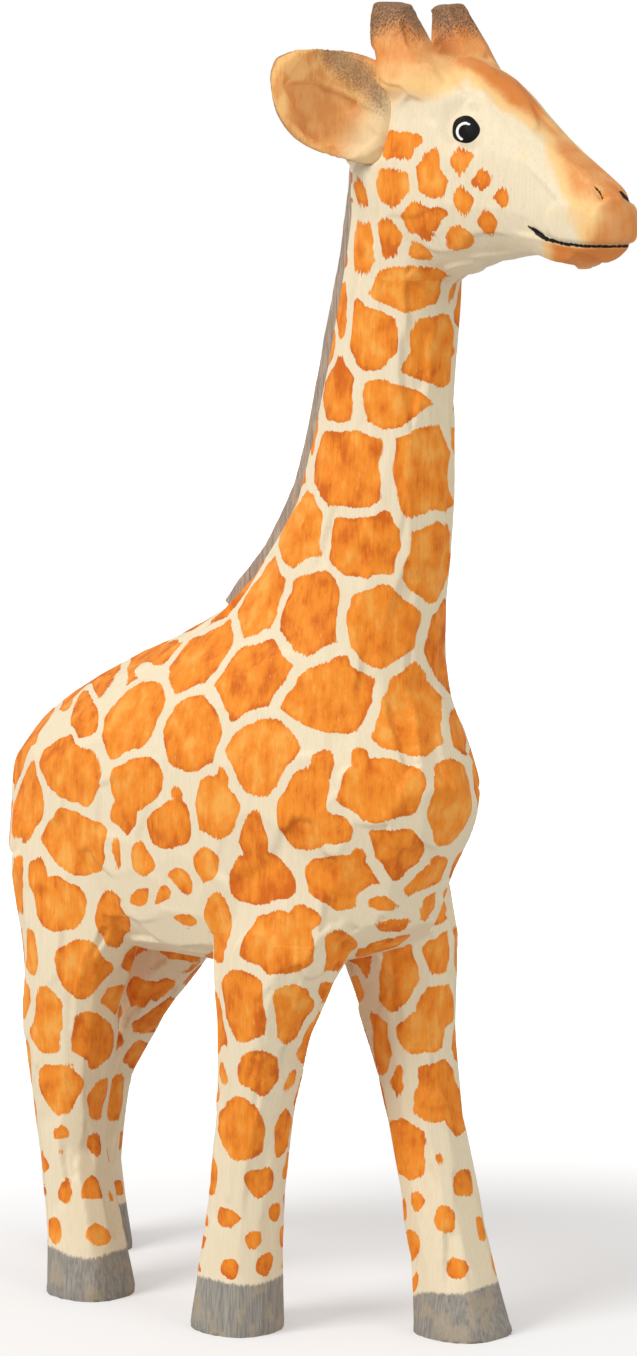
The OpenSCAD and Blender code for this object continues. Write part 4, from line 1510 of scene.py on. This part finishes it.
def studio_world():
    """White to the eye, a little dimmer as a light."""
    world = bpy.data.worlds.new("Studio")
    world.use_nodes = True
    tree = world.node_tree
    lit = tree.nodes["Background"]
    lit.inputs["Color"].default_value = (1, 0.99, 0.97, 1)
    lit.inputs["Strength"].default_value = 0.56
    seen = tree.nodes.new("ShaderNodeBackground")
    seen.inputs["Strength"].default_value = 1
    seen.inputs["Color"].default_value = (1, 1, 1, 1)
    path = tree.nodes.new("ShaderNodeLightPath")
    mix = tree.nodes.new("ShaderNodeMixShader")
    tree.links.new(path.outputs["Is Camera Ray"], mix.inputs[0])
    tree.links.new(lit.outputs[0], mix.inputs[1])
    tree.links.new(seen.outputs[0], mix.inputs[2])
    tree.links.new(mix.outputs[0], tree.nodes["World Output"].inputs["Surface"])
    return world


class GIRAFFE_OT_stage(bpy.types.Operator):
    """Makes the pale floor, the soft studio light and the camera."""

    bl_idname = "giraffe.stage"
    bl_label = "Stage"

    def execute(self, context):
        scene = context.scene
        bm = bmesh.new()
        bmesh.ops.create_circle(bm, cap_ends=True, segments=96, radius=4)
        mesh = bpy.data.meshes.new("floor")
        bm.to_mesh(mesh)
        bm.free()
        floor = link("floor", mesh)
        mesh.materials.append(floor_material())
        scene.world = studio_world()

        def light(name, azimuth, elevation, away, size, power):
            data = bpy.data.lights.new(name, "AREA")
            data.shape = "DISK"
            data.size = size
            data.energy = power
            obj = bpy.data.objects.new(name, data)
            scene.collection.objects.link(obj)
            a, e = math.radians(azimuth), math.radians(elevation)
            target = Vector((0, 0, 0.13))
            at = target + away * Vector((math.sin(a) * math.cos(e), -math.cos(a) * math.cos(e), math.sin(e)))
            obj.location = at
            obj.rotation_euler = (target - at).to_track_quat("-Z", "Y").to_euler()

        light("key", azimuth=-14, elevation=40, away=2.4, size=1.1, power=34)
        light("fill", azimuth=88, elevation=20, away=2.2, size=1.2, power=8)

        eye, target = stencil_view()[:2]
        data = bpy.data.cameras.new("camera")
        data.sensor_width = SENSOR
        data.lens = SENSOR * LENS_PER_SENSOR
        data.clip_end = 50
        camera = bpy.data.objects.new("camera", data)
        scene.collection.objects.link(camera)
        look = Vector(target * MM) - Vector((0, 0, CAMERA_DIP * MM))
        camera.location = Vector(eye * MM)
        camera.rotation_euler = (look - camera.location).to_track_quat("-Z", "Y").to_euler()
        scene.camera = camera
        scene.view_settings.view_transform = "Standard"
        return {"FINISHED"}


class GIRAFFE_PT_panel(bpy.types.Panel):
    """Lists the steps that make the giraffe."""

    bl_idname = "GIRAFFE_PT_panel"
    bl_label = "Carved giraffe"
    bl_space_type = "VIEW_3D"
    bl_region_type = "UI"
    bl_category = "Giraffe"

    def draw(self, context):
        for group in (context.scene.giraffe_carving, context.scene.giraffe_paint):
            for key in group.bl_rna.properties.keys():
                if key not in ("rna_type", "name"):
                    self.layout.prop(group, key)
        for step_class in STEPS:
            self.layout.operator(step_class.bl_idname)


STEPS = (GIRAFFE_OT_trims, GIRAFFE_OT_body, GIRAFFE_OT_legs, GIRAFFE_OT_dowels, GIRAFFE_OT_stage)
CLASSES = (GiraffeCarving, GiraffePaint, *STEPS, GIRAFFE_PT_panel)


def register():
    for cls in CLASSES:
        bpy.utils.register_class(cls)
    bpy.types.Scene.giraffe_carving = bpy.props.PointerProperty(type=GiraffeCarving)
    bpy.types.Scene.giraffe_paint = bpy.props.PointerProperty(type=GiraffePaint)


def unregister():
    del bpy.types.Scene.giraffe_carving
    del bpy.types.Scene.giraffe_paint
    for cls in reversed(CLASSES):
        bpy.utils.unregister_class(cls)


def main():
    register()
    bpy.ops.giraffe.trims()
    bpy.ops.giraffe.body()
    bpy.ops.giraffe.legs()
    bpy.ops.giraffe.dowels()
    bpy.ops.giraffe.stage()
    for mesh in (SKIN["body"], SKIN["head"]):
        bpy.data.meshes.remove(mesh)


if __name__ == "__main__":
    main()
